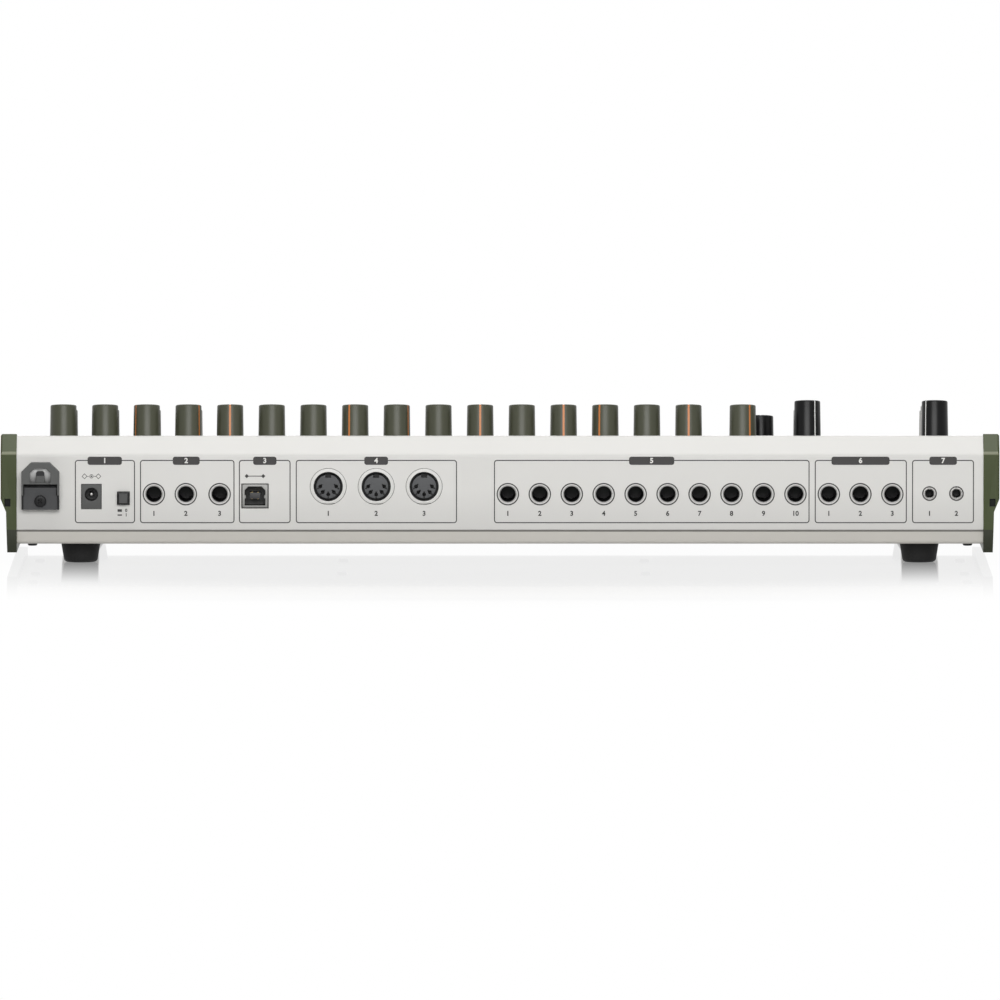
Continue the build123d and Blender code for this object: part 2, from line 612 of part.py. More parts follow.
def case_screws():
    """The pan screws of the tray, the cheeks and both boards: one pattern throughout."""
    screw = pan_screw(SCREW_HEAD_DIAMETER, SCREW_HEAD_HEIGHT, SCREW_DIAMETER, SCREW_LENGTH)
    screws = [Pos(x, y, FOOT_HEIGHT) * screw for x, y in PILLAR_PLACES]
    for y in CHEEK_SCREW_YS:
        height = panel_height(y) - CHEEK_SCREW_DROP
        inner_face = BODY_HALF - TRAY_SHEET
        screws.append(Pos(inner_face, y, height) * Rot(0, 90, 0) * screw)
        screws.append(Pos(-inner_face, y, height) * Rot(0, -90, 0) * screw)
    screws += [on_top(x, row, BOARD_UNDER) * screw for x, row in STANDOFF_PLACES]
    screws += [Pos(x, y, JACK_BOARD_HEIGHT) * Rot(180, 0, 0) * screw for x, y in POST_PLACES]
    return screws


def case_pillar(x, y):
    """A threaded pillar from the tray floor to the underside of the top panel."""
    low = (Align.CENTER, Align.CENTER, Align.MIN)
    pillar = Pos(x, y, TRAY_FLOOR) * Cylinder(PILLAR_DIAMETER / 2, CREST_HEIGHT, align=low)
    panel = on_top(0, 0, -COVER_SHEET) * Box(
        2 * WIDTH, 4 * DEPTH, CREST_HEIGHT, align=(Align.CENTER, Align.CENTER, Align.MIN)
    )
    thread = Pos(x, y, TRAY_FLOOR) * Cylinder(SCREW_DIAMETER / 2 + THREAD_FIT, PILLAR_BORE, align=low)
    return pillar - panel - thread


def board_standoffs():
    """Spacers that hang the control board, and posts that carry the jack board."""
    low = (Align.CENTER, Align.CENTER, Align.MIN)
    high = (Align.CENTER, Align.CENTER, Align.MAX)
    thread = SCREW_DIAMETER / 2 + THREAD_FIT
    spacer = Cylinder(STANDOFF_DIAMETER / 2, BOARD_DROP, align=low)
    spacer -= Cylinder(thread, SCREW_LENGTH, align=low)
    height = JACK_BOARD_UNDER - TRAY_FLOOR
    post = Cylinder(POST_DIAMETER / 2, height, align=high) - Cylinder(thread, SCREW_LENGTH, align=high)
    pieces = [on_top(x, row, BOARD_TOP) * spacer for x, row in STANDOFF_PLACES]
    return pieces + [Pos(x, y, JACK_BOARD_UNDER) * post for x, y in POST_PLACES]


# ---- Boards ----
def control_board():
    length = PANEL_LENGTH - BOARD_CREST_GAP - BOARD_FRONT_GAP
    middle = BOARD_CREST_GAP + length / 2
    high = (Align.CENTER, Align.CENTER, Align.MAX)
    width = 2 * (BODY_HALF - BOARD_END_GAP)
    board = on_top(0, middle, BOARD_TOP) * Box(width, length, BOARD, align=high)
    pass_hole = PILLAR_DIAMETER / 2 + BOARD_PILLAR_CLEARANCE
    cuts = [
        Pos(x, y, panel_height(y)) * Cylinder(pass_hole, 4 * BOARD_DROP)
        for x, y in PILLAR_PLACES
        if abs(x) < width / 2
    ]
    screw_hole = SCREW_DIAMETER / 2 + SCREW_CLEARANCE
    cuts += [on_top(x, row, BOARD_TOP) * Cylinder(screw_hole, 4 * BOARD) for x, row in STANDOFF_PLACES]
    return board - cuts


def jack_board():
    width = JACK_BOARD_RIGHT_X - JACK_BOARD_LEFT_X
    middle_x = (JACK_BOARD_RIGHT_X + JACK_BOARD_LEFT_X) / 2
    middle_y = (JACK_BOARD_REAR_Y + JACK_BOARD_FRONT_Y) / 2
    board = Pos(middle_x, middle_y, JACK_BOARD_HEIGHT - BOARD / 2) * Box(
        width, JACK_BOARD_DEPTH, BOARD
    )
    screw_hole = SCREW_DIAMETER / 2 + SCREW_CLEARANCE
    return board - [
        Pos(x, y, JACK_BOARD_HEIGHT) * Cylinder(screw_hole, 4 * BOARD) for x, y in POST_PLACES
    ]


def ribbon_cable():
    """A flat cable and its two sockets, from the jack board up to the control board."""
    low_y = JACK_BOARD_FRONT_Y + RIBBON_INSET
    high_y = low_y - RIBBON_SET_BACK
    board_under = panel_height(high_y) + BOARD_UNDER / cos(radians(PANEL_TILT))
    start = JACK_BOARD_HEIGHT + RIBBON_SOCKET_HEIGHT
    end = board_under - RIBBON_SOCKET_HEIGHT
    middle = (start + end) / 2
    width = RIBBON_WIDTH + 2 * RIBBON_SOCKET_SIDE
    low = (Align.CENTER, Align.CENTER, Align.MIN)
    lower_socket = Pos(0, low_y, JACK_BOARD_HEIGHT) * Box(
        width, RIBBON_SOCKET_DEPTH, RIBBON_SOCKET_HEIGHT, align=low
    )
    tall_socket = Pos(0, high_y, end) * Box(
        width, RIBBON_SOCKET_DEPTH, 2 * RIBBON_SOCKET_HEIGHT, align=low
    )
    board_room = on_top(0, 0, BOARD_UNDER) * Box(WIDTH, 2 * DEPTH, CREST_HEIGHT, align=low)
    flat = RIBBON_THICKNESS / 2
    step = (end - start) / 4
    section = Polyline(
        (low_y - flat, start),
        (low_y + flat, start),
        (low_y + flat, middle - step + flat),
        (high_y + flat, middle + step + flat),
        (high_y + flat, end),
        (high_y - flat, end),
        (high_y - flat, middle + step - flat),
        (low_y - flat, middle - step - flat),
        close=True,
    )
    ribbon = across_case(Plane.YZ.location * make_face(section.edges()), RIBBON_WIDTH / 2)
    return [lower_socket, ribbon, tall_socket - board_room]


# ---- Knobs and their potentiometers ----
def knob_cap(top_diameter, base_diameter, height):
    """A tapered cap with its pointer towards local +Y, standing on Z = 0."""
    low = (Align.CENTER, Align.CENTER, Align.MIN)
    cap = Cone(base_diameter / 2, top_diameter / 2, height, align=low)
    cap = fillet(cap.edges().sort_by(Axis.Z)[-1], KNOB_ROUND)
    hollow = Cylinder(top_diameter / 2 - KNOB_SKIRT, height - KNOB_ROOF, align=low)
    cap -= hollow - Cylinder(KNOB_HUB_DIAMETER / 2, height, align=low)
    cap -= Cylinder(SPINDLE_DIAMETER / 2 + SPINDLE_CAP_FIT, height - KNOB_ROOF, align=low)
    reach = base_diameter / 2 - POINTER_INNER
    line = Pos(0, POINTER_INNER, 0) * Box(
        POINTER_WIDTH, reach, height, align=(Align.CENTER, Align.MIN, Align.MIN)
    )
    core = Cone(
        base_diameter / 2 - POINTER_DEPTH, top_diameter / 2 - POINTER_DEPTH, height - POINTER_DEPTH,
        align=low,
    )
    return cap - (line - core)


def knob(place, rest, sizes):
    """The cap and the spindle it is pressed on."""
    top_diameter, base_diameter, height = sizes
    x, row = place
    bottom = BOARD_TOP + POT_FLOOR + SPINDLE_END_FLOAT
    top = KNOB_GAP + height - KNOB_ROOF
    spindle = Cylinder(
        SPINDLE_DIAMETER / 2, top - bottom, align=(Align.CENTER, Align.CENTER, Align.MIN)
    )
    cap = Rot(0, 0, rest) * knob_cap(top_diameter, base_diameter, height)
    return [on_top(x, row, KNOB_GAP) * cap, on_top(x, row, bottom) * spindle]


def potentiometer(x, row):
    low = (Align.CENTER, Align.CENTER, Align.MIN)
    case = Box(POT_SIDE, POT_SIDE, POT_HEIGHT, align=low)
    bushing = Cylinder(BUSHING_DIAMETER / 2, -BOARD_TOP, align=low)
    bore = Pos(0, 0, POT_FLOOR) * Cylinder(
        SPINDLE_DIAMETER / 2 + SPINDLE_RUNNING_FIT, -BOARD_TOP, align=low
    )
    return on_top(x, row, BOARD_TOP) * (case + bushing - bore)


LEVEL_SIZES = (KNOB_TOP_DIAMETER, KNOB_BASE_DIAMETER, KNOB_HEIGHT)
TALL_SIZES = (TALL_TOP_DIAMETER, TALL_BASE_DIAMETER, TALL_HEIGHT)
DATA_SIZES = (DATA_TOP_DIAMETER, DATA_BASE_DIAMETER, DATA_HEIGHT)
KNOBS = {
    "volume_knob": ((VOLUME_X, ROW_FIRST), -45, TALL_SIZES),
    "tempo_knob": ((TEMPO_X, ROW_FIRST), 35, TALL_SIZES),
    "data_knob": ((DATA_X, ROW_SECOND), 0, DATA_SIZES),
    "accent_knob": ((ACCENT_X, ROW_FIRST), 32, LEVEL_SIZES),
    "mix_knob": ((VOLUME_X, ROW_SECOND), 10, TALL_SIZES),
    "drive_knob": ((VOLUME_X, ROW_THIRD), 140, TALL_SIZES),
    "swing_knob": ((TEMPO_X, ROW_SECOND), 0, LEVEL_SIZES),
}
for number, (place, rest) in enumerate(zip(LEVEL_PLACES, LEVEL_RESTS), start=1):
    KNOBS[f"level_knob_{number:02d}"] = (place, rest, LEVEL_SIZES)
for number, (place, rest) in enumerate(zip(DECAY_PLACES, DECAY_RESTS), start=1):
    KNOBS[f"decay_knob_{number}"] = (place, rest, LEVEL_SIZES)
KNOB_PLACES = [place for place, rest, sizes in KNOBS.values()]


# ---- Keys, buttons and their switches ----
START_PLACES = [(START_X, KEY_ROW)]
STOP_PLACES = [(STOP_X, KEY_ROW)]
STEP_PLACES = [(x, KEY_ROW) for x in STEP_XS]
KEY_GRIDS = [
    (START_PLACES + STOP_PLACES + STEP_PLACES, KEY_WIDTH, KEY_LENGTH),
    (FUNCTION_PLACES + PATTERN_PLACES, BUTTON_WIDTH, BUTTON_LENGTH),
]


def push_cap(place, width, length, rise, travel, edge):
    """A cap in its window, with a flange under the panel and a stem over its switch."""
    x, row = place
    low = (Align.CENTER, Align.CENTER, Align.MIN)
    flange_bottom = -COVER_SHEET - FLANGE_GAP - FLANGE_THICKNESS
    overhang = 2 * (WINDOW_GAP + FLANGE_OVERHANG)
    cap = Pos(0, 0, flange_bottom) * Box(width, length, rise - flange_bottom, align=low)
    cap = fillet(cap.faces().sort_by(Axis.Z)[-1].edges() + cap.edges().filter_by(Axis.Z), edge)
    flange = Box(width + overhang, length + overhang, FLANGE_THICKNESS, align=low)
    plunger_top = BOARD_TOP + SWITCH_HEIGHT + PRESS_GAP + travel
    stem = Pos(0, 0, plunger_top) * Box(STEM_SIDE, STEM_SIDE, flange_bottom - plunger_top, align=low)
    return on_top(x, row) * (cap + Pos(0, 0, flange_bottom) * flange + stem)


def keys(places):
    return [push_cap(place, KEY_WIDTH, KEY_LENGTH, KEY_RISE, KEY_TRAVEL, KEY_ROUND) for place in places]


def buttons(places):
    sizes = (BUTTON_WIDTH, BUTTON_LENGTH, BUTTON_RISE, BUTTON_TRAVEL, BUTTON_ROUND)
    return [push_cap(place, *sizes) for place in places]


def key_switch(x, row):
    low = (Align.CENTER, Align.CENTER, Align.MIN)
    body_height = SWITCH_HEIGHT * 0.8
    body = Box(SWITCH_SIDE, SWITCH_SIDE, body_height, align=low)
    plunger = Cylinder(PLUNGER_DIAMETER / 2, SWITCH_HEIGHT, align=low)
    return on_top(x, row, BOARD_TOP) * (body + plunger)


def status_light(x, row):
    """A round lamp on the board, its dome through the panel."""
    low = (Align.CENTER, Align.CENTER, Align.MIN)
    radius = LIGHT_DIAMETER / 2
    height = LIGHT_RISE - BOARD_TOP
    lamp = Cylinder(radius, height, align=low)
    lamp = fillet(lamp.edges().sort_by(Axis.Z)[-1], LIGHT_RISE)
    collar = Cylinder(radius + LIGHT_COLLAR, LIGHT_COLLAR_HEIGHT, align=low)
    return on_top(x, row, BOARD_TOP) * (lamp + collar)


# ---- Display ----
def display_window():
    high = (Align.CENTER, Align.CENTER, Align.MAX)
    return on_top(DISPLAY_X, DISPLAY_ROW) * Box(
        DISPLAY_WIDTH, DISPLAY_LENGTH, COVER_SHEET, align=high
    )


def display_module():
    """A lit panel behind the window, on four feet on the control board."""
    high = (Align.CENTER, Align.CENTER, Align.MAX)
    width = DISPLAY_WIDTH + 2 * DISPLAY_BORDER
    length = DISPLAY_LENGTH + 2 * DISPLAY_BORDER
    module = Box(width, length, DISPLAY_MODULE_HEIGHT, align=high)
    foot_height = BOARD_DROP - DISPLAY_MODULE_HEIGHT
    foot = Box(DISPLAY_FOOT_SIDE, DISPLAY_FOOT_SIDE, foot_height, align=high)
    reach_x = (width - DISPLAY_FOOT_SIDE) / 2
    reach_y = (length - DISPLAY_FOOT_SIDE) / 2
    for x in (-reach_x, reach_x):
        for y in (-reach_y, reach_y):
            module += Pos(x, y, -DISPLAY_MODULE_HEIGHT) * foot
    return on_top(DISPLAY_X, DISPLAY_ROW, -COVER_SHEET) * module


# ---- Sockets on the jack board ----
def socket_body(across, width, top, length):
    """A block from the jack board up to a height, against the inside of the socket panel."""
    height = top - JACK_BOARD_HEIGHT
    return on_rear(across, JACK_BOARD_HEIGHT, -COVER_SHEET) * Box(
        width, height, length, align=(Align.CENTER, Align.MIN, Align.MAX)
    )


def bored_nose(place, nose, mouth, bore, back):
    """The round front of a socket through the panel, and the tool that bores it out."""
    high = (Align.CENTER, Align.CENTER, Align.MAX)
    face = place * Pos(0, 0, -SOCKET_PROUD)
    round_nose = face * Cylinder(nose / 2, COVER_SHEET, align=high)
    slope = (mouth - bore) / 2
    funnel = face * Cone(bore / 2, mouth / 2, slope, align=high)
    hole = face * Cylinder(bore / 2, back, align=high)
    return round_nose, funnel + hole


def phone_jack(across):
    body = socket_body(across, PHONE_BODY_WIDTH, PHONE_HEIGHT + PHONE_BODY_TOP, PHONE_BODY_LENGTH)
    depth = COVER_SHEET + PHONE_BODY_LENGTH - PHONE_BACK_WALL
    nose, bore = bored_nose(
        on_rear(across, PHONE_HEIGHT), PHONE_NOSE_DIAMETER, PHONE_MOUTH_DIAMETER, PHONE_BORE, depth
    )
    return body + nose - bore


def sync_jack(across):
    top = SYNC_HEIGHT + SYNC_BODY_WIDTH / 2
    body = socket_body(across, SYNC_BODY_WIDTH, top, SYNC_BODY_LENGTH)
    depth = COVER_SHEET + SYNC_BODY_LENGTH - SYNC_BACK_WALL
    nose, bore = bored_nose(
        on_rear(across, SYNC_HEIGHT), SYNC_NOSE_DIAMETER, SYNC_MOUTH_DIAMETER, SYNC_BORE, depth
    )
    return body + nose - bore


def midi_socket(across):
    """A five-pin round socket: flange, dark ring gap, pin face with five holes and a keyway."""
    high = (Align.CENTER, Align.CENTER, Align.MAX)
    body = socket_body(across, MIDI_BODY_WIDTH, MIDI_HEIGHT + MIDI_BODY_TOP, MIDI_BODY_LENGTH)
    place = on_rear(across, MIDI_HEIGHT, -SOCKET_PROUD)
    flange = Cylinder(MIDI_FLANGE_DIAMETER / 2, COVER_SHEET, align=high)
    flange -= Pos(0, -MIDI_FLAT, 0) * Box(
        MIDI_FLANGE_DIAMETER, MIDI_FLANGE_DIAMETER, 4 * COVER_SHEET,
        align=(Align.CENTER, Align.MAX, Align.CENTER),
    )
    ring = Cylinder(MIDI_RING_OUTER / 2, MIDI_RING_DEPTH, align=high)
    core = Pos(0, 0, -MIDI_FACE_RECESS) * Cylinder(MIDI_RING_INNER / 2, MIDI_RING_DEPTH, align=high)
    keyway = Pos(0, MIDI_RING_INNER / 2, 0) * Box(
        MIDI_KEYWAY_WIDTH, 2 * MIDI_KEYWAY_DEPTH, MIDI_RING_DEPTH, align=high
    )
    pin = Cylinder(MIDI_PIN_BORE / 2, MIDI_RING_DEPTH, align=high)
    pins = [Rot(0, 0, -angle) * Pos(MIDI_PIN_RADIUS, 0, 0) * pin for angle in MIDI_PIN_ANGLES]
    return body + place * flange - place * (ring - core) - place * keyway - [place * p for p in pins]


def usb_socket():
    """A square shell with a bevelled cavity and a tongue."""
    high = (Align.CENTER, Align.CENTER, Align.MAX)
    place = on_rear(USB_ACROSS, USB_HEIGHT, -SOCKET_PROUD)
    shell = Box(USB_WIDTH, USB_TALL, USB_LENGTH, align=high)
    cavity = Box(USB_CAVITY_WIDTH, USB_CAVITY_TALL, USB_CAVITY_DEPTH, align=high)
    top_edges = cavity.edges().filter_by(Axis.Z).sort_by(Axis.Y)[-2:]
    cavity = chamfer(top_edges, USB_CHAMFER)
    tongue = Pos(0, 0, -USB_TONGUE_SHORT) * Box(
        USB_TONGUE_WIDTH, USB_TONGUE_TALL, USB_CAVITY_DEPTH, align=high
    )
    foot = socket_body(USB_ACROSS, USB_WIDTH, USB_HEIGHT - USB_TALL / 2, USB_LENGTH - COVER_SHEET)
    return place * (shell - (cavity - tongue)) + foot


def dc_jack():
    """The low-voltage inlet: a block with a round well and a centre pin."""
    high = (Align.CENTER, Align.CENTER, Align.MAX)
    middle = DC_AXIS_HEIGHT - DC_MIDDLE_DROP
    block = on_rear(DC_ACROSS, middle, -SOCKET_PROUD) * Box(DC_WIDTH, DC_TALL, DC_LENGTH, align=high)
    foot = socket_body(DC_ACROSS, DC_WIDTH, middle - DC_TALL / 2, DC_LENGTH - COVER_SHEET)
    axis = on_rear(DC_ACROSS, DC_AXIS_HEIGHT, -SOCKET_PROUD)
    well = Cylinder(DC_BORE / 2, DC_BORE_DEPTH, align=high)
    pin = Pos(0, 0, -DC_PIN_SHORT) * Cylinder(DC_PIN / 2, DC_BORE_DEPTH, align=high)
    return block + foot - axis * (well - pin)


def power_button():
    """A square push head with a stem behind it, at rest in the raised position."""
    high = (Align.CENTER, Align.CENTER, Align.MAX)
    head = Box(POWER_WIDTH, POWER_TALL, POWER_HEAD_LENGTH, align=high)
    head = chamfer(head.faces().sort_by(Axis.Z)[-1].edges(), POWER_EDGE)
    stem = Pos(0, 0, -POWER_HEAD_LENGTH) * Box(POWER_STEM, POWER_STEM, POWER_STEM_LENGTH, align=high)
    return on_rear(POWER_ACROSS, POWER_HEIGHT, POWER_STANDOUT) * (head + stem)


def power_switch():
    """The switch body on the jack board, with a square guide for the button's stem."""
    front = POWER_STANDOUT - POWER_HEAD_LENGTH - POWER_TRAVEL - PRESS_GAP
    height = POWER_HEIGHT + POWER_SWITCH_SIDE / 2 - JACK_BOARD_HEIGHT
    body = on_rear(POWER_ACROSS, JACK_BOARD_HEIGHT, front) * Box(
        POWER_SWITCH_SIDE, height, POWER_SWITCH_LENGTH, align=(Align.CENTER, Align.MIN, Align.MAX)
    )
    stem_end = POWER_STANDOUT - POWER_HEAD_LENGTH - POWER_STEM_LENGTH - POWER_TRAVEL
    guide_length = front - stem_end + POWER_STEM_GAP
    side = POWER_STEM + 2 * POWER_STEM_GAP
    guide = on_rear(POWER_ACROSS, POWER_HEIGHT, front) * Box(
        side, side, guide_length, align=(Align.CENTER, Align.CENTER, Align.MAX)
    )
    return body - guide


# ---- Cord clamp ----
def cord_clamp():
    """A frame with an eye and a peg that a cord is looped round, and a screwed block below."""
    low = (Align.CENTER, Align.MIN, Align.MIN)
    frame = Box(CLAMP_WIDTH, CLAMP_HEIGHT, CLAMP_STANDOUT, align=low)
    frame = chamfer(frame.edges().filter_by(Axis.Z).sort_by(Axis.Y)[-2:], CLAMP_CORNER)
    eye = Box(CLAMP_EYE_WIDTH, CLAMP_EYE_TOP - CLAMP_EYE_BOTTOM, 4 * CLAMP_STANDOUT,
              align=(Align.CENTER, Align.MIN, Align.CENTER))
    eye = chamfer(eye.edges().filter_by(Axis.Z).sort_by(Axis.Y)[-2:], CLAMP_EYE_CORNER)
    frame -= Pos(0, CLAMP_EYE_BOTTOM - CLAMP_BOTTOM, 0) * eye
    block_width = CLAMP_WIDTH - 2 * CLAMP_SIDE
    block_face = CLAMP_STANDOUT - CLAMP_BLOCK_BACK
    frame -= Pos(0, 0, block_face) * Box(
        block_width, CLAMP_SHELF - CLAMP_BOTTOM, CLAMP_STANDOUT, align=low
    )
    frame -= Pos(0, 0, CLAMP_STANDOUT - CLAMP_STEP_DEPTH) * Box(
        2 * CLAMP_WIDTH, CLAMP_SIDE_STEP - CLAMP_BOTTOM, CLAMP_STANDOUT, align=low
    )
    peg_height = CLAMP_PEG_TOP - CLAMP_EYE_BOTTOM
    peg = Box(CLAMP_PEG_WIDTH, peg_height, CLAMP_PEG_THICKNESS, align=low)
    peg = fillet(peg.edges().filter_by(Axis.Z).sort_by(Axis.Y)[-2:], CLAMP_PEG_WIDTH / 4)
    frame += Pos(0, CLAMP_EYE_BOTTOM - CLAMP_BOTTOM, CLAMP_PEG_FROM_PANEL) * peg
    bore = Cylinder(CLAMP_SCREW_DIAMETER / 2 + THREAD_FIT, 4 * CLAMP_STANDOUT)
    frame -= Pos(0, CLAMP_SCREW_HEIGHT - CLAMP_BOTTOM, 0) * bore
    return on_rear(CLAMP_ACROSS, CLAMP_BOTTOM) * frame


def clamp_screw():
    face = CLAMP_STANDOUT - CLAMP_BLOCK_BACK
    screw = pan_screw(
        CLAMP_SCREW_HEAD, CLAMP_SCREW_HEAD_HEIGHT, CLAMP_SCREW_DIAMETER, CLAMP_SCREW_GRIP
    )
    return on_rear(CLAMP_ACROSS, CLAMP_SCREW_HEIGHT, face) * Rot(180, 0, 0) * screw


# ---- Every sub-part ----
save("top_cover", [top_cover()])
save("bottom_tray", [bottom_tray()])
save("right_cheek", [cheek(1)])
save("left_cheek", [cheek(-1)])
save("rubber_feet", [rubber_foot(x, y) for x, y in FOOT_PLACES])
save("case_screws", case_screws())
save("case_pillars", [case_pillar(x, y) for x, y in PILLAR_PLACES])
save("board_standoffs", board_standoffs())
save("control_board", [control_board()])
save("jack_board", [jack_board()])
save("ribbon_cable", ribbon_cable())
save("potentiometers", [potentiometer(x, row) for x, row in KNOB_PLACES])
save("key_switches", [key_switch(x, row) for places, *size in KEY_GRIDS for x, row in places])
save("status_lights", [status_light(x, row) for x, row in LIGHT_PLACES])
save("display_window", [display_window()])
save("display_module", [display_module()])
save("phone_jacks", [phone_jack(across) for across in PHONE_PLACES])
save("sync_jacks", [sync_jack(across) for across in SYNC_PLACES])
save("midi_sockets", [midi_socket(across) for across in MIDI_PLACES])
save("usb_socket", [usb_socket()])
save("dc_jack", [dc_jack()])
save("power_switch", [power_switch()])
save("power_button", [power_button()])
save("cord_clamp", [cord_clamp()])
save("clamp_screw", [clamp_screw()])
save("start_button", keys(START_PLACES))
save("stop_button", keys(STOP_PLACES))
save("function_buttons", buttons(FUNCTION_PLACES))
save("pattern_buttons", buttons(PATTERN_PLACES))
for first in range(0, STEP_COUNT, KEYS_PER_BANK):
    bank = STEP_PLACES[first:first + KEYS_PER_BANK]
    save(f"step_keys_{first + 1:02d}_{first + len(bank):02d}", keys(bank))
for name, (place, rest, sizes) in KNOBS.items():
    save(name, knob(place, rest, sizes))
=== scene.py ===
from math import cos, pi, radians, sin

import bpy
from mathutils import Matrix, Vector


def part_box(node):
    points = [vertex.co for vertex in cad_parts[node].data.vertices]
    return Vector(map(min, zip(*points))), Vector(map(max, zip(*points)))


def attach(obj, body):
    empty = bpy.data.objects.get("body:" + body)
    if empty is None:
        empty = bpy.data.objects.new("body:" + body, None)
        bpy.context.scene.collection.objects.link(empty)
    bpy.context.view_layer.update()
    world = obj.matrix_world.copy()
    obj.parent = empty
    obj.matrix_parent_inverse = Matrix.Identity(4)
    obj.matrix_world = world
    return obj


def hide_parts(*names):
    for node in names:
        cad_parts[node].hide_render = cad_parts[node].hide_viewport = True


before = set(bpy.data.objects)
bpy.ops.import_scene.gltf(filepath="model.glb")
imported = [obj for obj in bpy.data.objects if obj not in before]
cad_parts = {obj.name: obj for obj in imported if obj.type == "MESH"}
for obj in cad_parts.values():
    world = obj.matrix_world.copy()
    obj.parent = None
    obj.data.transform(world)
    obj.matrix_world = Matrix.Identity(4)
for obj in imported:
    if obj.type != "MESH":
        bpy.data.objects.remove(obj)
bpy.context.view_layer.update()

# ---- Camera ----
# A long lens far behind the machine, a little above the table, so the socket panel is seen
# square on with no perspective and the top panel stays out of sight.
MM = 0.001
rear_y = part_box("top_cover")[1].y
camera_elevation = radians(3.3)
camera_distance = 10.697
camera_aim = Vector((0.0, rear_y, 32.4 * MM))
camera_way = Vector((0.0, cos(camera_elevation), sin(camera_elevation)))
bpy.ops.object.camera_add(location=camera_aim + camera_way * camera_distance)
camera = bpy.context.object
camera.name = "studio_camera"
camera.rotation_mode = "QUATERNION"
camera.rotation_quaternion = (-camera_way).to_track_quat("-Z", "Y")
camera.data.lens = 774.0
camera.data.sensor_width = 36.0
camera.data.clip_end = 100.0
bpy.context.scene.camera = camera

# ---- Studio ----
# White surroundings and a pale floor with some polish, so the feet and the underside mirror in
# it, and three soft boxes: over the machine, behind it beside the lens, and on the player's side.
bpy.context.scene.view_settings.view_transform = "Standard"
WHITE = (1.0, 1.0, 1.0, 1.0)


def deselect():
    bpy.ops.object.select_all(action="DESELECT")


def wire(node, feeds):
    """Links each named input of a node to a socket, or sets it to a value."""
    for socket, feed in feeds.items():
        if isinstance(feed, bpy.types.NodeSocket):
            node.id_data.links.new(feed, node.inputs[socket])
        else:
            node.inputs[socket].default_value = feed
    return node


def add_node(tree, kind, feeds=(), operation=None):
    """Adds a shader node and wires its inputs."""
    node = tree.nodes.new("ShaderNode" + kind)
    if operation:
        node.operation = operation
    return wire(node, dict(feeds))


def compute(operation, *terms, clamp=False):
    """Does a sum in the node tree of its first term."""
    node = add_node(terms[0].id_data, "Math", enumerate(terms), operation)
    node.use_clamp = clamp
    return node.outputs["Value"]


def ramp(value, start, end, low=0.0, high=1.0):
    """Goes from low to high while a value goes from start to end."""
    return add_node(value.id_data, "MapRange", {
        "Value": value, "From Min": start, "From Max": end, "To Min": low, "To Max": high,
    }).outputs["Result"]


def mix_shader(amount, first, second):
    feeds = {"Fac": amount, 1: first, 2: second}
    return add_node(first.id_data, "MixShader", feeds).outputs["Shader"]


def seen_rays(tree):
    """1 for what the camera, a gloss or a clear part shows, 0 for plain light."""
    rays = add_node(tree, "LightPath").outputs
    gloss = compute("ADD", rays["Is Camera Ray"], rays["Is Glossy Ray"], clamp=True)
    return compute("ADD", gloss, rays["Is Transmission Ray"], clamp=True)


world = bpy.data.worlds.new("white_studio")
bpy.context.scene.world = world
world.use_nodes = True
sky = world.node_tree
ambient = wire(sky.nodes["Background"], {"Color": WHITE, "Strength": 0.1})
backdrop = add_node(sky, "Background", {"Color": WHITE, "Strength": 1.0})
wire(sky.nodes["World Output"], {"Surface": mix_shader(
    seen_rays(sky), ambient.outputs["Background"], backdrop.outputs["Background"])})

floor_size = 40.0
floor_drop = 0.02 * MM     # keeps the floor just clear of the feet's soles
deselect()
bpy.ops.mesh.primitive_plane_add(size=floor_size, location=(0.0, 0.0, -floor_drop))
floor = bpy.context.object
floor.name = "studio_floor"
floor_paint = bpy.data.materials.new("studio_floor")
floor_paint.use_nodes = True
ground = floor_paint.node_tree
floor_where = add_node(ground, "TexCoord").outputs["Object"]
floor_plain = wire(ground.nodes["Principled BSDF"], {
    "Base Color": (0.62, 0.62, 0.62, 1.0), "Roughness": 0.9, "Specular IOR Level": 0.0,
}).outputs["BSDF"]
floor_glow = add_node(ground, "Emission").outputs["Emission"]
floor_polish = add_node(ground, "BsdfGlossy", {"Roughness": 0.025, "Color": WHITE}).outputs["BSDF"]
glow_share = 0.975
# the floor is clearest in front of the feet, where it mirrors them
foot_across, foot_side, foot_out, foot_reach = 0.2091, 0.0088, 0.106, 0.160
foot_soft, foot_lean = 0.0006, -0.0165
polish_least, polish_gain = 0.18, 0.58
# the polish grows with how edge on the floor is seen, from 0 to 1, and most by the feet
gloss_start, foot_gloss_start, gloss_full = 0.2, 0.84, 0.93
gloss_least = 0.15
fade_start, fade_end = 0.26, 0.48


def floor_step(axis, centre, start, end, lean=0.0):
    """One on the start side of a distance from a centre line, nought past its end."""
    size = add_node(ground, "VectorMath", {0: floor_where}, "ABSOLUTE").outputs["Vector"]
    parts = add_node(ground, "SeparateXYZ", {"Vector": size}).outputs
    slant = compute("MULTIPLY_ADD", parts["Y"], -lean, parts[axis])
    gap = compute("ABSOLUTE", compute("SUBTRACT", slant, centre))
    return ramp(gap, end, start)


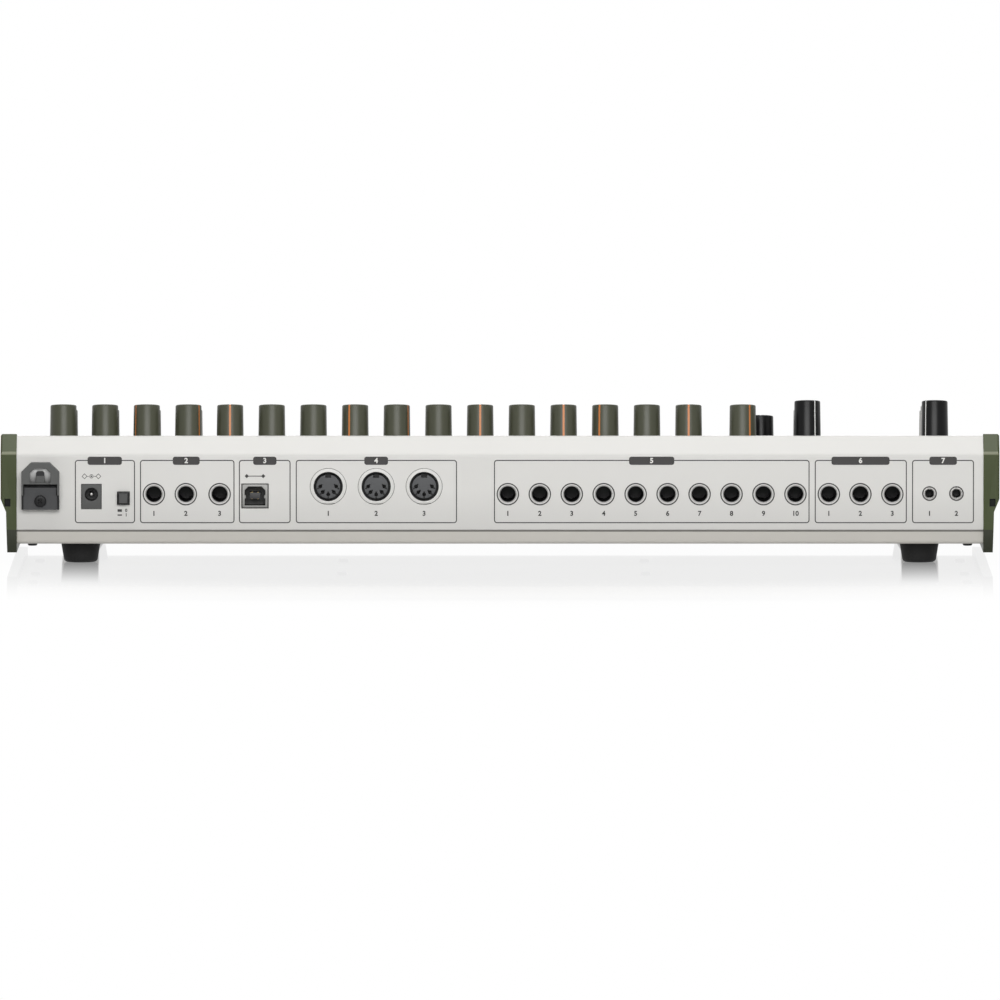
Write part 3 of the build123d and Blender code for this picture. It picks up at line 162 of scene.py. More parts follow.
floor_clear = compute(
    "MULTIPLY",
    floor_step("X", foot_across - foot_lean * foot_out, foot_side, foot_side + foot_soft,
               foot_lean),
    floor_step("Y", foot_out, 0.0, foot_reach),
)
facing = add_node(ground, "LayerWeight", {"Blend": 0.5}).outputs["Facing"]
floor_flat = compute("MULTIPLY", floor_clear, ramp(facing, foot_gloss_start, gloss_full))
floor_mirror = compute("MULTIPLY_ADD", floor_flat, polish_gain, polish_least)
floor_gloss = ramp(facing, gloss_start, gloss_full, gloss_least)
floor_shine = compute("MULTIPLY", floor_mirror, floor_gloss)
floor_lit = mix_shader(glow_share, floor_plain, floor_glow)
floor_top = mix_shader(floor_shine, floor_lit, floor_polish)
floor_reach = add_node(ground, "VectorMath", {0: floor_where}, "LENGTH").outputs["Value"]
floor_fade = ramp(floor_reach, fade_start, fade_end)
floor_fade.node.interpolation_type = "SMOOTHSTEP"
floor_far = mix_shader(floor_fade, floor_top, floor_glow)
wire(ground.nodes["Material Output"],
     {"Surface": mix_shader(seen_rays(ground), floor_plain, floor_far)})
floor.data.materials.append(floor_paint)

box_width = 1.8
for name, place, aim, height, power in (
    ("overhead_box", (0.0, 0.3, 1.9), (0.0, 0.0, 0.0), 1.2, 22.0),
    ("lens_box", (0.0, 2.5, 0.8), (0.0, 0.0, 0.05), 0.8, 41.0),
    ("player_box", (0.0, -2.4, 1.5), (0.0, 0.0, 0.0), 1.2, 20.0),
):
    bpy.ops.object.light_add(type="AREA", location=place)
    lamp = bpy.context.object
    lamp.name = name
    lamp.data.shape = "RECTANGLE"
    lamp.data.size = box_width
    lamp.data.size_y = height
    lamp.data.energy = power
    lamp.rotation_mode = "QUATERNION"
    lamp.rotation_quaternion = (Vector(aim) - Vector(place)).to_track_quat("-Z", "Y")

# ---- Sheet metal ----
# The folded top cover and the tray under it are steel sheet, powder coated in a warm off-white
# with a very fine orange peel. The tray is a shade darker and screws on from below.


def mix_colour(amount, base, shade, blend):
    """Lays a shade over a colour."""
    node = add_node(base.id_data, "Mix")
    node.data_type = "RGBA"
    node.blend_type = blend
    return wire(node, {"Factor": amount, 6: base, 7: shade}).outputs[2]


def surface_grain_group():
    """Slow mottle in colour and gloss, and a fine grain for the bump."""
    group = bpy.data.node_groups.new("surface_grain", "ShaderNodeTree")
    for way, sockets in (
        ("INPUT", {"Color": "Color", "Mottle": "Float", "Roughness": "Float",
                   "Gloss Change": "Float", "Grain Scale": "Float"}),
        ("OUTPUT", {"Color": "Color", "Roughness": "Float", "Height": "Float"}),
    ):
        for socket_name, kind in sockets.items():
            group.interface.new_socket(socket_name, in_out=way, socket_type="NodeSocket" + kind)
    entry = group.nodes.new("NodeGroupInput").outputs
    where = add_node(group, "TexCoord").outputs["Object"]
    slow = add_node(group, "TexNoise", {"Vector": where, "Scale": 38.0, "Detail": 4.0})
    fine = add_node(group, "TexNoise", {"Vector": where, "Scale": entry["Grain Scale"],
                                        "Detail": 3.0})
    cloud = slow.outputs["Fac"]
    amount = compute("MULTIPLY", cloud, entry["Mottle"])
    darker = (0.55, 0.55, 0.55, 1.0)
    wire(group.nodes.new("NodeGroupOutput"), {
        "Color": mix_colour(amount, entry["Color"], darker, "MULTIPLY"),
        "Roughness": compute("MULTIPLY_ADD", cloud, entry["Gloss Change"], entry["Roughness"]),
        "Height": fine.outputs["Fac"],
    })
    return group


surface_grain = surface_grain_group()


def finish(name, colour, roughness, grain=2400.0, depth=0.02, mottle=0.2, gloss_change=0.08,
           metallic=0.0, specular=0.5, glow=0.0):
    """A painted, moulded or plated finish: depth is the height of its grain in millimetres."""
    material = bpy.data.materials.new(name)
    material.use_nodes = True
    tree = material.node_tree
    grains = tree.nodes.new("ShaderNodeGroup")
    grains.node_tree = surface_grain
    wire(grains, {"Color": (*colour, 1.0), "Mottle": mottle, "Roughness": roughness,
                  "Gloss Change": gloss_change, "Grain Scale": grain})
    bump = add_node(tree, "Bump", {"Strength": 1.0, "Distance": depth * MM,
                                   "Height": grains.outputs["Height"]})
    wire(tree.nodes["Principled BSDF"], {
        "Base Color": grains.outputs["Color"], "Roughness": grains.outputs["Roughness"],
        "Normal": bump.outputs["Normal"], "Metallic": metallic, "Specular IOR Level": specular,
        "Emission Color": (*colour, 1.0), "Emission Strength": glow,
    })
    return material


def dress(node, material):
    """Gives a node of the frame its finish."""
    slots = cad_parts[node].data.materials
    slots.clear()
    slots.append(material)


def tint(material, amount, shade, blend="MIX"):
    """Lays a shade over a finish."""
    shader = material.node_tree.nodes["Principled BSDF"]
    base = shader.inputs["Base Color"].links[0].from_socket
    wire(shader, {"Base Color": mix_colour(amount, base, (*shade, 1.0), blend)})


def shade_zone(material, shade, **ranges):
    """Paints shade, or light past 1, where each axis has passed from its clear to its tinted place,
    in mm.
    """
    tree = material.node_tree
    where = add_node(tree, "TexCoord").outputs["Object"]
    split = add_node(tree, "SeparateXYZ", {"Vector": where}).outputs
    bands = [ramp(split[axis.upper()], clear * MM, shaded * MM)
             for axis, (clear, shaded) in ranges.items()]
    amount = bands[0]
    for band in bands[1:]:
        amount = compute("MULTIPLY", amount, band)
    tint(material, amount, shade, "MULTIPLY")


cover_paint = finish("cover_paint", (0.667, 0.659, 0.634), 0.42, 1500.0, 0.012, 0.05)
tray_paint = finish("tray_paint", (0.585, 0.566, 0.522), 0.46, 1500.0, 0.012, 0.06)
# painted shade: a dark line that fades downward makes the socket panel's upper fold look crisp,
# the panel is painted darker towards the seam, and the tray's edge there is painted darker too
rear_skin = (rear_y / MM - 2.0, rear_y / MM - 1.0)
for grey, heights in ((0.90, (55.0, 54.95)), (1.11, (54.9, 53.9)), (0.84, (38.0, 17.0))):
    shade_zone(cover_paint, (grey, grey, grey), z=heights, y=rear_skin)
shade_zone(tray_paint, (0.42, 0.42, 0.42), z=(16.3, 16.5))
dress("top_cover", cover_paint)
dress("bottom_tray", tray_paint)

crest = Vector((0.0, rear_y - 8.0 * MM, 64.1 * MM))
panel_tilt = radians(7.5)


def on_top(x, row, height=0.0, turn=0.0):
    """A place over the top panel: row counts from the crest towards the player."""
    lean = Matrix.Translation(crest) @ Matrix.Rotation(panel_tilt, 4, "X")
    return lean @ Matrix.Translation(Vector((x, -row, height)) * MM) @ Matrix.Rotation(turn, 4, "Z")


def on_rear(across, height, out=0.0):
    """A place on the socket panel as seen from behind, with local Z pointing out of it."""
    facing_out = Matrix(((-1, 0, 0, 0), (0, 0, 1, 0), (0, 1, 0, 0), (0, 0, 0, 1)))
    return Matrix.Translation((-across * MM, rear_y + out * MM, height * MM)) @ facing_out


# ---- End cheeks ----
# Two moulded ends in dark olive plastic with a fine spark-eroded texture and eased edges, each
# held by three screws from inside the case.


def use(piece):
    """Makes one piece the only one that the next tool works on."""
    deselect()
    piece.select_set(True)
    bpy.context.view_layer.objects.active = piece


def edit(piece):
    """Opens a piece with everything selected."""
    use(piece)
    bpy.ops.object.mode_set(mode="EDIT")
    bpy.ops.mesh.select_all(action="SELECT")


def close():
    bpy.ops.object.mode_set(mode="OBJECT")


def fit(piece, slot, *nodes, body="case"):
    """Hangs a finished piece on its body and hides the nodes that it stands for."""
    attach(piece, body)
    if nodes:
        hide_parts(*nodes)


def bisect(piece, at, across):
    """Cuts a piece's faces along a plane without taking anything off."""
    edit(piece)
    bpy.ops.mesh.bisect(plane_co=at, plane_no=across)
    close()


def paint(piece, material, wanted=lambda at, normal: True):
    """Gives the wanted faces a finish."""
    piece.data.materials.append(material)
    index = len(piece.data.materials) - 1
    for face in piece.data.polygons:
        if wanted(face.center, face.normal):
            face.material_index = index


def smooth(piece, degrees=32):
    use(piece)
    bpy.ops.object.shade_smooth_by_angle(angle=radians(degrees))


def ease(piece, width):
    """Rounds every sharp edge of a piece by a width."""
    use(piece)
    rounding = piece.modifiers.new("ease", "BEVEL")
    rounding.width = width
    rounding.segments = 2
    rounding.limit_method = "ANGLE"
    rounding.angle_limit = radians(30)
    bpy.ops.object.modifier_apply(modifier="ease")


def even_flats(piece):
    """Keeps wide faces flat in the light where rounded edges meet them."""
    use(piece)
    piece.modifiers.new("flats", "WEIGHTED_NORMAL").keep_sharp = True
    bpy.ops.object.modifier_apply(modifier="flats")


def eased_copy(node, name, width, material):
    """A node's mesh with its triangles joined and its sharp edges rounded by a width."""
    piece = bpy.data.objects.new(name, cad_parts[node].data.copy())
    bpy.context.collection.objects.link(piece)
    use(piece)
    bpy.ops.mesh.customdata_custom_splitnormals_clear()
    edit(piece)
    bpy.ops.mesh.remove_doubles(threshold=0.001 * MM)
    bpy.ops.mesh.dissolve_limited(angle_limit=radians(0.5))
    close()
    ease(piece, width * MM)
    smooth(piece)
    even_flats(piece)
    piece.data.materials.clear()
    piece.data.materials.append(material)
    return piece


cheek_look = {"grain": 2600.0, "depth": 0.03, "mottle": 0.14}
cheek_plastic = finish("cheek_plastic", (0.041, 0.054, 0.014), 0.30, specular=0.29, **cheek_look)
# painted shade: a darker copy of the olive for the lower rear ends, and near black for the notches
cheek_painted_shade = finish("cheek_painted_shade", (0.019, 0.022, 0.010), 0.34, specular=0.29, **cheek_look)
notch_painted_shade = finish("notch_painted_shade", (0.012, 0.013, 0.012), 0.50, specular=0.1, **cheek_look)
cheek_rear = rear_y / MM + 0.8
cheek_shade_top = 17.6     # the rear ends lie in shade below this height
cheek_shade_start = 80.0
# a painted highlight lightens the fold at the rear corner along a fine line
shade_zone(cheek_plastic, (4.2, 3.4, 8.0), z=(54.8, 55.1), y=(cheek_rear - 1.1, cheek_rear - 0.8))


def under_rear(at, normal):
    """The part of a rear end that gets painted shade."""
    return at.z < cheek_shade_top * MM and at.y > cheek_shade_start * MM and normal.y > 0.3


def in_notch(at, normal):
    depth, across, height = at.y / MM - cheek_rear, abs(at.x) / MM, at.z / MM
    return -1.7 < depth < -0.05 and 243.0 < across < 246.4 and 28.9 < height < 33.2


for cheek_node in ("right_cheek", "left_cheek"):
    cheek = eased_copy(cheek_node, cheek_node + "_moulding", 0.1, cheek_plastic)
    bisect(cheek, (0.0, 0.0, cheek_shade_top * MM), (0.0, 0.0, 1.0))
    # painted shade on the lower rear ends and in the notches
    paint(cheek, cheek_painted_shade, under_rear)
    paint(cheek, notch_painted_shade, in_notch)
    fit(cheek, "cheek_plastic", cheek_node)

# ---- Rubber feet ----
# Four black rubber feet with a stem through the tray. Each is turned from a round bar: it narrows
# to the table, its lower edge is rounded and its sole is hollowed a little.


def open_on(piece, kind, parts, wanted):
    """Opens a piece with only its wanted faces or edges selected."""
    edit(piece)
    bpy.ops.mesh.select_mode(type=kind)
    bpy.ops.mesh.select_all(action="DESELECT")
    close()
    for part in parts:
        part.select = wanted(part)
    bpy.ops.object.mode_set(mode="EDIT")


def faces_where(piece, wanted):
    """Opens a piece with only the wanted faces selected, each given by its middle and normal."""
    open_on(piece, "FACE", piece.data.polygons, lambda face: wanted(face.center, face.normal))


def edges_where(piece, wanted):
    """Opens a piece with only the wanted edges selected, each given by its two ends."""
    ends = piece.data.vertices
    open_on(piece, "EDGE", piece.data.edges,
            lambda edge: wanted(ends[edge.vertices[0]].co, ends[edge.vertices[1]].co))


def upward(at, normal):
    return normal.z > 0.9


def upward_over(height):
    return lambda at, normal: normal.z > 0.9 and at.z > height


def downward(at, normal):
    return normal.z < -0.9


def rim_below(height):
    return lambda a, b: max(a.z, b.z) < height


def settle():
    """The shape just added, with its origin moved to the world's."""
    bpy.ops.object.transform_apply(location=True, rotation=True, scale=True)
    return bpy.context.object


def round_bar(radius, low, high, sides=48, at=(0.0, 0.0)):
    """A turned bar along Z between two heights, in millimetres."""
    deselect()
    bpy.ops.mesh.primitive_cylinder_add(
        vertices=sides, radius=radius, depth=high - low, location=(*at, (low + high) / 2)
    )
    return settle()


def widen(share_x, share_y=None):
    """Scales the selected faces in their plane."""
    bpy.ops.transform.resize(value=(share_x, share_y or share_x, 1.0))


def inset(width, depth=0.0):
    """Draws the selected faces in from their rim."""
    bpy.ops.mesh.inset(thickness=width, depth=depth)


def raise_faces(height, share=1.0):
    """Extrudes the selected faces by a height and scales the new end."""
    bpy.ops.mesh.extrude_region_move(
        TRANSFORM_OT_translate={"value": (0.0, 0.0, height), "orient_type": "GLOBAL"}
    )
    if share != 1.0:
        widen(share)


def round_edges(piece, wanted, width, steps):
    edges_where(piece, wanted)
    bpy.ops.mesh.bevel(offset=width, segments=steps, affect="EDGES")
    close()


def join(pieces):
    """Makes one piece of several."""
    deselect()
    for piece in pieces:
        piece.select_set(True)
    bpy.context.view_layer.objects.active = pieces[0]
    if len(pieces) > 1:
        bpy.ops.object.join()
    return pieces[0]


def set_down(pattern, name, places):
    """Puts a copy of a pattern made in millimetres at each place, as one piece."""
    copies = []
    for place in places:
        copy = bpy.data.objects.new(name, pattern.data.copy())
        copy.data.transform(place @ Matrix.Scale(MM, 4))
        bpy.context.collection.objects.link(copy)
        copies.append(copy)
    return join(copies)


def fit_copies(pattern, name, places, slot, *nodes, body="case"):
    """Puts copies of a pattern on a body as one piece, and throws the pattern away."""
    fit(set_down(pattern, name, places), slot, *nodes, body=body)
    bpy.data.objects.remove(pattern)


foot_height = 10.3
foot_top = 9.9
foot_sole = 8.2
foot_stem = 3.0
foot_rubber = finish("foot_rubber", (0.011, 0.011, 0.011), 0.60, 2200.0, 0.03, 0.3, specular=0.2)
foot = round_bar(foot_sole, 0.0, foot_height, 64)
faces_where(foot, upward)
widen(foot_top / foot_sole)
close()
round_edges(foot, rim_below(0.01), 1.6, 5)
faces_where(foot, lambda at, normal: normal.z < -0.999)
inset(1.2)
raise_faces(0.7, 0.85)
close()
faces_where(foot, upward_over(foot_height - 0.1))
inset(foot_top - foot_stem)
raise_faces(1.6)
close()
smooth(foot)
paint(foot, foot_rubber)
foot_places = [
    Matrix.Translation((x * MM, y * MM, 0.0)) for y in (97.5, -100.5) for x in (-209.1, 209.1)
]
fit_copies(foot, "rubber_foot_set", foot_places, "foot_rubber", "rubber_feet")

# ---- Fasteners, pillars and boards inside ----
# Black pan screws, plated pillars and spacers, two green boards joined by a grey flat cable, and
# the potentiometers and switches soldered to the control board. They keep the frame's shapes.
for node, name, colour, roughness, grain, depth, mottle, metallic in (
    ("case_screws", "black_screw", (0.02, 0.02, 0.021), 0.34, 3000.0, 0.01, 0.2, 0.6),
    ("case_pillars", "plated_pillar", (0.56, 0.55, 0.52), 0.32, 2400.0, 0.01, 0.2, 1.0),
    ("board_standoffs", "plated_spacer", (0.60, 0.58, 0.54), 0.30, 2400.0, 0.01, 0.2, 1.0),
    ("ribbon_cable", "ribbon_plastic", (0.42, 0.42, 0.43), 0.5, 1400.0, 0.03, 0.2, 0.0),
    ("potentiometers", "pot_metal", (0.50, 0.49, 0.46), 0.34, 2400.0, 0.02, 0.25, 0.9),
    ("key_switches", "switch_plastic", (0.03, 0.03, 0.032), 0.46, 2400.0, 0.02, 0.2, 0.0),
    ("power_switch", "switch_body", (0.05, 0.05, 0.052), 0.46, 2400.0, 0.02, 0.2, 0.0),
):
    dress(node, finish(name, colour, roughness, grain, depth, mottle, metallic=metallic))

# green mask over copper, with small tinned pads in rows
circuit_board = finish("circuit_board", (0.012, 0.085, 0.032), 0.36, 2600.0, 0.02, 0.25)
board_tree = circuit_board.node_tree
board_where = add_node(board_tree, "TexCoord").outputs["Object"]
pads = add_node(board_tree, "TexVoronoi", {"Vector": board_where, "Scale": 260.0,
                                           "Randomness": 0.25})
tinned = ramp(pads.outputs["Distance"], 0.16, 0.20, 1.0, 0.0)
tint(circuit_board, tinned, (0.62, 0.58, 0.48))
wire(board_tree.nodes["Principled BSDF"], {"Metallic": tinned})
dress("control_board", circuit_board)
dress("jack_board", circuit_board)

# ---- Sockets on the jack board ----
# Moulded sockets soldered to the jack board, their noses through the socket panel: 16 phone
# sockets, two small sync sockets, three round five-pin sockets and one square data socket.
board_top = 27.5           # table to the jack board's upper face
panel_back = -1.5          # inside of the socket panel
nose_face = -0.2           # sockets end this far behind the panel's outside
jack_nose = finish("jack_nose", (0.66, 0.655, 0.63), 0.30, 2400.0, 0.006, 0.06)
jack_shade = finish("jack_shade", (0.42, 0.415, 0.405), 0.35, 2400.0, 0.01, 0.1)
# black for the mouldings, and painted shade inside the sockets' holes and mouths
black_and_hole_shade = finish("black_and_hole_shade", (0.006, 0.006, 0.006), 0.42)
jack_body = finish("jack_body", (0.020, 0.020, 0.021), 0.5)


def block(low, high):
    """A rectangular bar between two corners, in millimetres."""
    size = [b - a for a, b in zip(low, high)]
    middle = [(a + b) / 2 for a, b in zip(low, high)]
    deselect()
    bpy.ops.mesh.primitive_cube_add(size=1.0, location=middle, scale=size)
    return settle()


def cut(piece, tool):
    """Cuts one shape out of another and throws the tool away."""
    saw = piece.modifiers.new("cut", "BOOLEAN")
    saw.operation = "DIFFERENCE"
    saw.solver = "EXACT"
    saw.object = tool
    use(piece)
    bpy.ops.object.modifier_apply(modifier="cut")
    bpy.data.objects.remove(tool)


def bevel_block(piece, width, steps=2):
    """Rounds every edge of a block."""
    round_edges(piece, lambda a, b: True, width, steps)


def upper_corners(height):
    """A block's edges along Z above a height in Y."""
    return lambda a, b: min(a.y, b.y) > height and abs(a.z - b.z) > 1.0


def in_hole(radius, top):
    """The faces within a radius below a height."""
    return lambda at, normal: at.xy.length < radius and at.z < top


def fit_rear(pattern, name, across, height, slot, *nodes, out=0.0, body="case"):
    """Puts copies of a pattern on the socket panel."""
    fit_copies(pattern, name, [on_rear(x, height, out) for x in across], slot, *nodes, body=body)


def turned(piece, degrees, middle=(0.0, 0.0, 0.0)):
    """A piece turned about Z and moved from the origin to a place."""
    piece.data.transform(Matrix.Translation(middle) @ Matrix.Rotation(radians(degrees), 4, "Z"))
    return piece


def domed_bar(radius, low, high, sides, rounding, steps):
    """A turned bar with a rounded upper rim."""
    piece = round_bar(radius, low, high, sides)
    round_edges(piece, lambda a, b: min(a.z, b.z) > high - 0.01, rounding, steps)
    return piece


def bored_bar(radius, low, high, mouth, sides, *steps):
    """A turned bar with a rounded rim and a stepped hole: steps are a depth and an end radius."""
    rim = 0.18
    piece = domed_bar(radius, low, high, sides, rim, 2)
    faces_where(piece, lambda at, normal: normal.z > 0.999)
    inset(radius - rim - mouth)
    inner = mouth
    for depth, end in steps:
        raise_faces(-depth, end / inner)
        inner = end
    close()
    return piece


def socket_body(half, axis, rise, back, room_radius, room_back, sides):
    """A moulded body on the board, with round room in it for the socket's nose."""
    body = block((-half, board_top - axis, back), (half, rise, panel_back))
    bevel_block(body, 0.4)
    cut(body, round_bar(room_radius, room_back, 0.0, sides))
    paint(body, jack_body)
    return body


phone_height = 35.3
phone_nose = 5.25
phone_mouth = 4.45
phone_step = 3.92
phone_bore = 3.6
phone = socket_body(6.3, phone_height, 6.7, -28.5, phone_nose - 0.2, -28.0, 64)
nose = bored_bar(phone_nose, -28.1, nose_face, phone_mouth, 64,
                 (0.4, phone_step), (0.75, phone_bore), (26.0, phone_bore))
smooth(nose)
paint(nose, jack_nose)
# painted shade in the mouth: grey on its chamfer, black down the bore
paint(nose, jack_shade, in_hole(phone_mouth - 0.1, nose_face - 0.1))
paint(nose, black_and_hole_shade, in_hole(phone_mouth - 0.1, nose_face - 0.45))
phone = join([phone, nose])
phone_across = [-172.2, -156.3, -139.5]
phone_across += [3.9 + (147.0 - 3.9) * i / 9 for i in range(10)]
phone_across += [163.6, 179.3, 195.2]
fit_rear(phone, "phone_socket_row", phone_across, phone_height, "jack_nose", "phone_jacks")

# the sync sockets have a slotted metal ring round a small mouth
sync_across = (213.7, 227.1)
sync_height = 35.6
sync_nose = 3.35
sync_mouth = 2.1
sync_bore = 1.8
slot_half, slot_depth = 0.6, 0.22
sync_metal = finish("sync_metal", (0.27, 0.265, 0.255), 0.42, 2600.0, 0.008, 0.12, metallic=1.0)
sync = socket_body(4.0, sync_height, 4.0, -13.5, sync_nose - 0.2, -13.0, 48)
sync_ring = bored_bar(sync_nose, -13.1, nose_face, 2.55, 48,
                      (0.35, sync_mouth), (0.5, sync_bore), (11.0, sync_bore))
for turn in (0, 90):
    slot = block((-4.0, -slot_half, nose_face - slot_depth), (4.0, slot_half, 1.0))
    cut(sync_ring, turned(slot, turn))
smooth(sync_ring)
paint(sync_ring, sync_metal)
# painted shade: black down the mouth, grey on the slots' floors
paint(sync_ring, black_and_hole_shade, in_hole(sync_mouth - 0.02, nose_face - 0.35))
paint(sync_ring, jack_shade,
      lambda at, normal: nose_face - 0.24 < at.z < nose_face - 0.2 and normal.z > 0.9)
sync = join([sync, sync_ring])
fit_rear(sync, "sync_socket_pair", sync_across, sync_height, "sync_metal", "sync_jacks")

# the five-pin sockets: light flange cut flat below, a black ring of painted shade, and a grey
# insert with its five holes
midi_across = (-85.45, -61.6, -37.75)
midi_height = 39.1
midi_flange = 8.95
midi_flat = 8.2
midi_ring = 7.3
midi_insert = 6.0
insert_face = nose_face - 0.6
pin_circle = 4.0
midi_shell = finish("midi_shell", (0.66, 0.655, 0.63), 0.32, 2400.0, 0.006, 0.06)
midi_grey = finish("midi_grey", (0.092, 0.094, 0.097), 0.48, mottle=0.15, specular=0.2)
midi = socket_body(9.4, midi_height, 9.0, -15.5, midi_flange - 0.3, -9.5, 96)
flange = bored_bar(midi_flange, -9.6, nose_face, midi_ring, 96, (8.8, midi_ring))
paint(flange, midi_shell)
# painted shade: black down the flange's bore
paint(flange, black_and_hole_shade, in_hole(midi_ring + 0.02, nose_face - 0.1))
# the flange is cut flat below, and the insert has a keyway in its upper edge
cut(flange, block((-10.0, -12.0, panel_back + 0.05), (10.0, -midi_flat, 1.0)))
smooth(flange)
insert = domed_bar(midi_insert, -9.1, insert_face, 64, 0.2, 2)
cut(insert, block((-1.5, 4.4, -8.0), (1.5, 8.0, 1.0)))
# each contact has a round hole and a slot; the outer two slots lean down
for angle, lean in ((0, -45), (-45, -45), (-90, -90), (-135, -135), (-180, -135)):
    pin = Vector((pin_circle * cos(radians(angle)), pin_circle * sin(radians(angle)), 0.0))
    cut(insert, round_bar(0.95, -8.0, 1.0, 20, at=pin.xy))
    cut(insert, turned(block((-1.5, -0.4, -3.0), (1.9, 0.4, 1.0)), lean, pin))
smooth(insert)
# black, with painted shade down the holes, and grey on the face
paint(insert, black_and_hole_shade)
paint(insert, midi_grey, upward_over(insert_face - 0.1))
midi = join([midi, flange, insert])
fit_rear(midi, "five_pin_socket_row", midi_across, midi_height, "midi_shell", "midi_sockets")

# the data socket: a pressed metal shell with side springs and a tongue with four contacts
usb_across = -121.9
usb_height = 34.4
usb_x, usb_y, usb_back = 6.45, 5.85, -15.9
room_x, room_y, room_back = 5.2, 4.75, -11.2
spring_face = 4.3
usb_shell = finish("usb_shell", (0.19, 0.188, 0.182), 0.45, 2600.0, 0.01, 0.15, metallic=1.0)
contact_gold = finish("contact_gold", (0.80, 0.62, 0.30), 0.25, 2400.0, 0.01, 0.1, metallic=1.0)
shell = block((-usb_x, -usb_y, usb_back), (usb_x, usb_y, nose_face))
bevel_block(shell, 0.35)
room = block((-room_x, -room_y, room_back), (room_x, room_y, 1.0))
round_edges(room, upper_corners(room_y - 0.05), 1.9, 1)
cut(shell, room)
for side in (-1, 1):
    left, right = sorted((side * 5.4, side * spring_face))
    spring = block((left, -1.2, -9.0), (right, 0.4, -0.6))
    round_edges(spring, lambda a, b: max(abs(a.x), abs(b.x)) < spring_face + 0.1, 0.6, 3)
    shell = join([shell, spring])


def in_room(at, normal):
    """The inside of the shell, but not its springs."""
    on_spring = abs(at.x) > spring_face - 0.05 and -1.3 < at.y < 0.5
    return (room_back - 0.2 < at.z < -1.0 and abs(at.x) < room_x + 0.05
            and abs(at.y) < room_y + 0.05 and not on_spring)


paint(shell, usb_shell)
# painted shade: the shell is black inside
paint(shell, black_and_hole_shade, in_room)
tongue = block((-2.8, -1.5, room_back), (2.8, 1.7, nose_face - 1.0))
bevel_block(tongue, 0.3)
paint(tongue, jack_body)
contacts = []
for x in (-1.5, 1.5):
    for low, high in ((-1.62, -1.45), (1.65, 1.82)):
        contact = block((x - 0.5, low, -10.0), (x + 0.5, high, -1.7))
        bevel_block(contact, 0.05, 1)
        paint(contact, contact_gold)
        contacts.append(contact)
usb_foot = block((-usb_x, board_top - usb_height, usb_back), (usb_x, -5.8, -1.6))
bevel_block(usb_foot, 0.3)
paint(usb_foot, jack_body)
usb = join([shell, tongue, usb_foot] + contacts)
smooth(usb)
fit_rear(usb, "square_data_socket", [usb_across], usb_height, "usb_shell", "usb_socket")

# ---- Power inlet and push button ----
# A grey moulded inlet with a steel centre pin, and beside it a square grey push cap with a
# chamfered rim on its stem.
inlet_across, inlet_height = -203.3, 35.2
well_radius, well_mouth, well_back = 3.1, 3.4, -10.2
dc_grey = finish("dc_plastic", (0.092, 0.093, 0.091), 0.46, mottle=0.12, specular=0.2)
pin_steel = finish("pin_steel", (0.30, 0.295, 0.285), 0.25, 2400.0, 0.005, 0.1, metallic=1.0)
inlet = block((-4.95, board_top - inlet_height, -13.9), (4.95, 5.05, nose_face))
bevel_block(inlet, 0.3)
well = round_bar(well_radius, well_back, nose_face - 0.35, 48)
faces_where(well, upward)
raise_faces(0.4, well_mouth / well_radius)
raise_faces(1.0)
close()
cut(inlet, well)
smooth(inlet)
paint(inlet, dc_grey)
# painted shade: the well is black
paint(inlet, black_and_hole_shade, lambda at, normal: at.xy.length < well_mouth - 0.05
      and well_back - 0.2 < at.z < -0.3)
centre_pin = domed_bar(1.05, well_back, nose_face - 1.0, 24, 0.85, 4)
smooth(centre_pin)
paint(centre_pin, pin_steel)
inlet = join([inlet, centre_pin])
fit_rear(inlet, "power_inlet", [inlet_across], inlet_height, "dc_plastic", "dc_jack")

push_across, push_height = -187.4, 33.3
push_out = 4.0
cap_look = {"depth": 0.015, "mottle": 0.12, "specular": 0.2}
cap_grey = finish("power_plastic", (0.078, 0.078, 0.077), 0.40, **cap_look)
# painted shade: the cap's sides are a darker copy of its grey
cap_side_shade = finish("power_plastic_shade", (0.018, 0.018, 0.018), 0.40, **cap_look)
push = block((-2.8, -2.95, -3.0), (2.8, 2.95, push_out))
faces_where(push, upward)
bpy.ops.mesh.bevel(offset=0.75, segments=1, affect="EDGES")
bpy.ops.mesh.select_all(action="DESELECT")
close()
faces_where(push, upward)
inset(0.35)
raise_faces(-0.12)
close()
round_edges(push, lambda a, b: abs(a.z - b.z) > 3.0, 0.2, 2)
stem = block((-1.5, -1.5, -11.0), (1.5, 1.5, -2.9))
bevel_block(stem, 0.2)
push = join([push, stem])
smooth(push, 25)
# painted shade on the sides, the grey on the face and its chamfer
paint(push, cap_side_shade)
paint(push, cap_grey, upward_over(push_out - 0.5))
fit_rear(push, "power_push_cap", [push_across], push_height, "power_plastic", "power_button",
         body="power_button")

# ---- Cord clamp ----
# A grey moulded frame that a cord loops round, with a peg in its eye, held on the socket panel by
# one black cross-head screw through the lower block.
clamp_look = {"grain": 2200.0, "depth": 0.03, "mottle": 0.12, "specular": 0.2}
clamp_plastic = finish("clamp_plastic", (0.096, 0.098, 0.095), 0.50, **clamp_look)
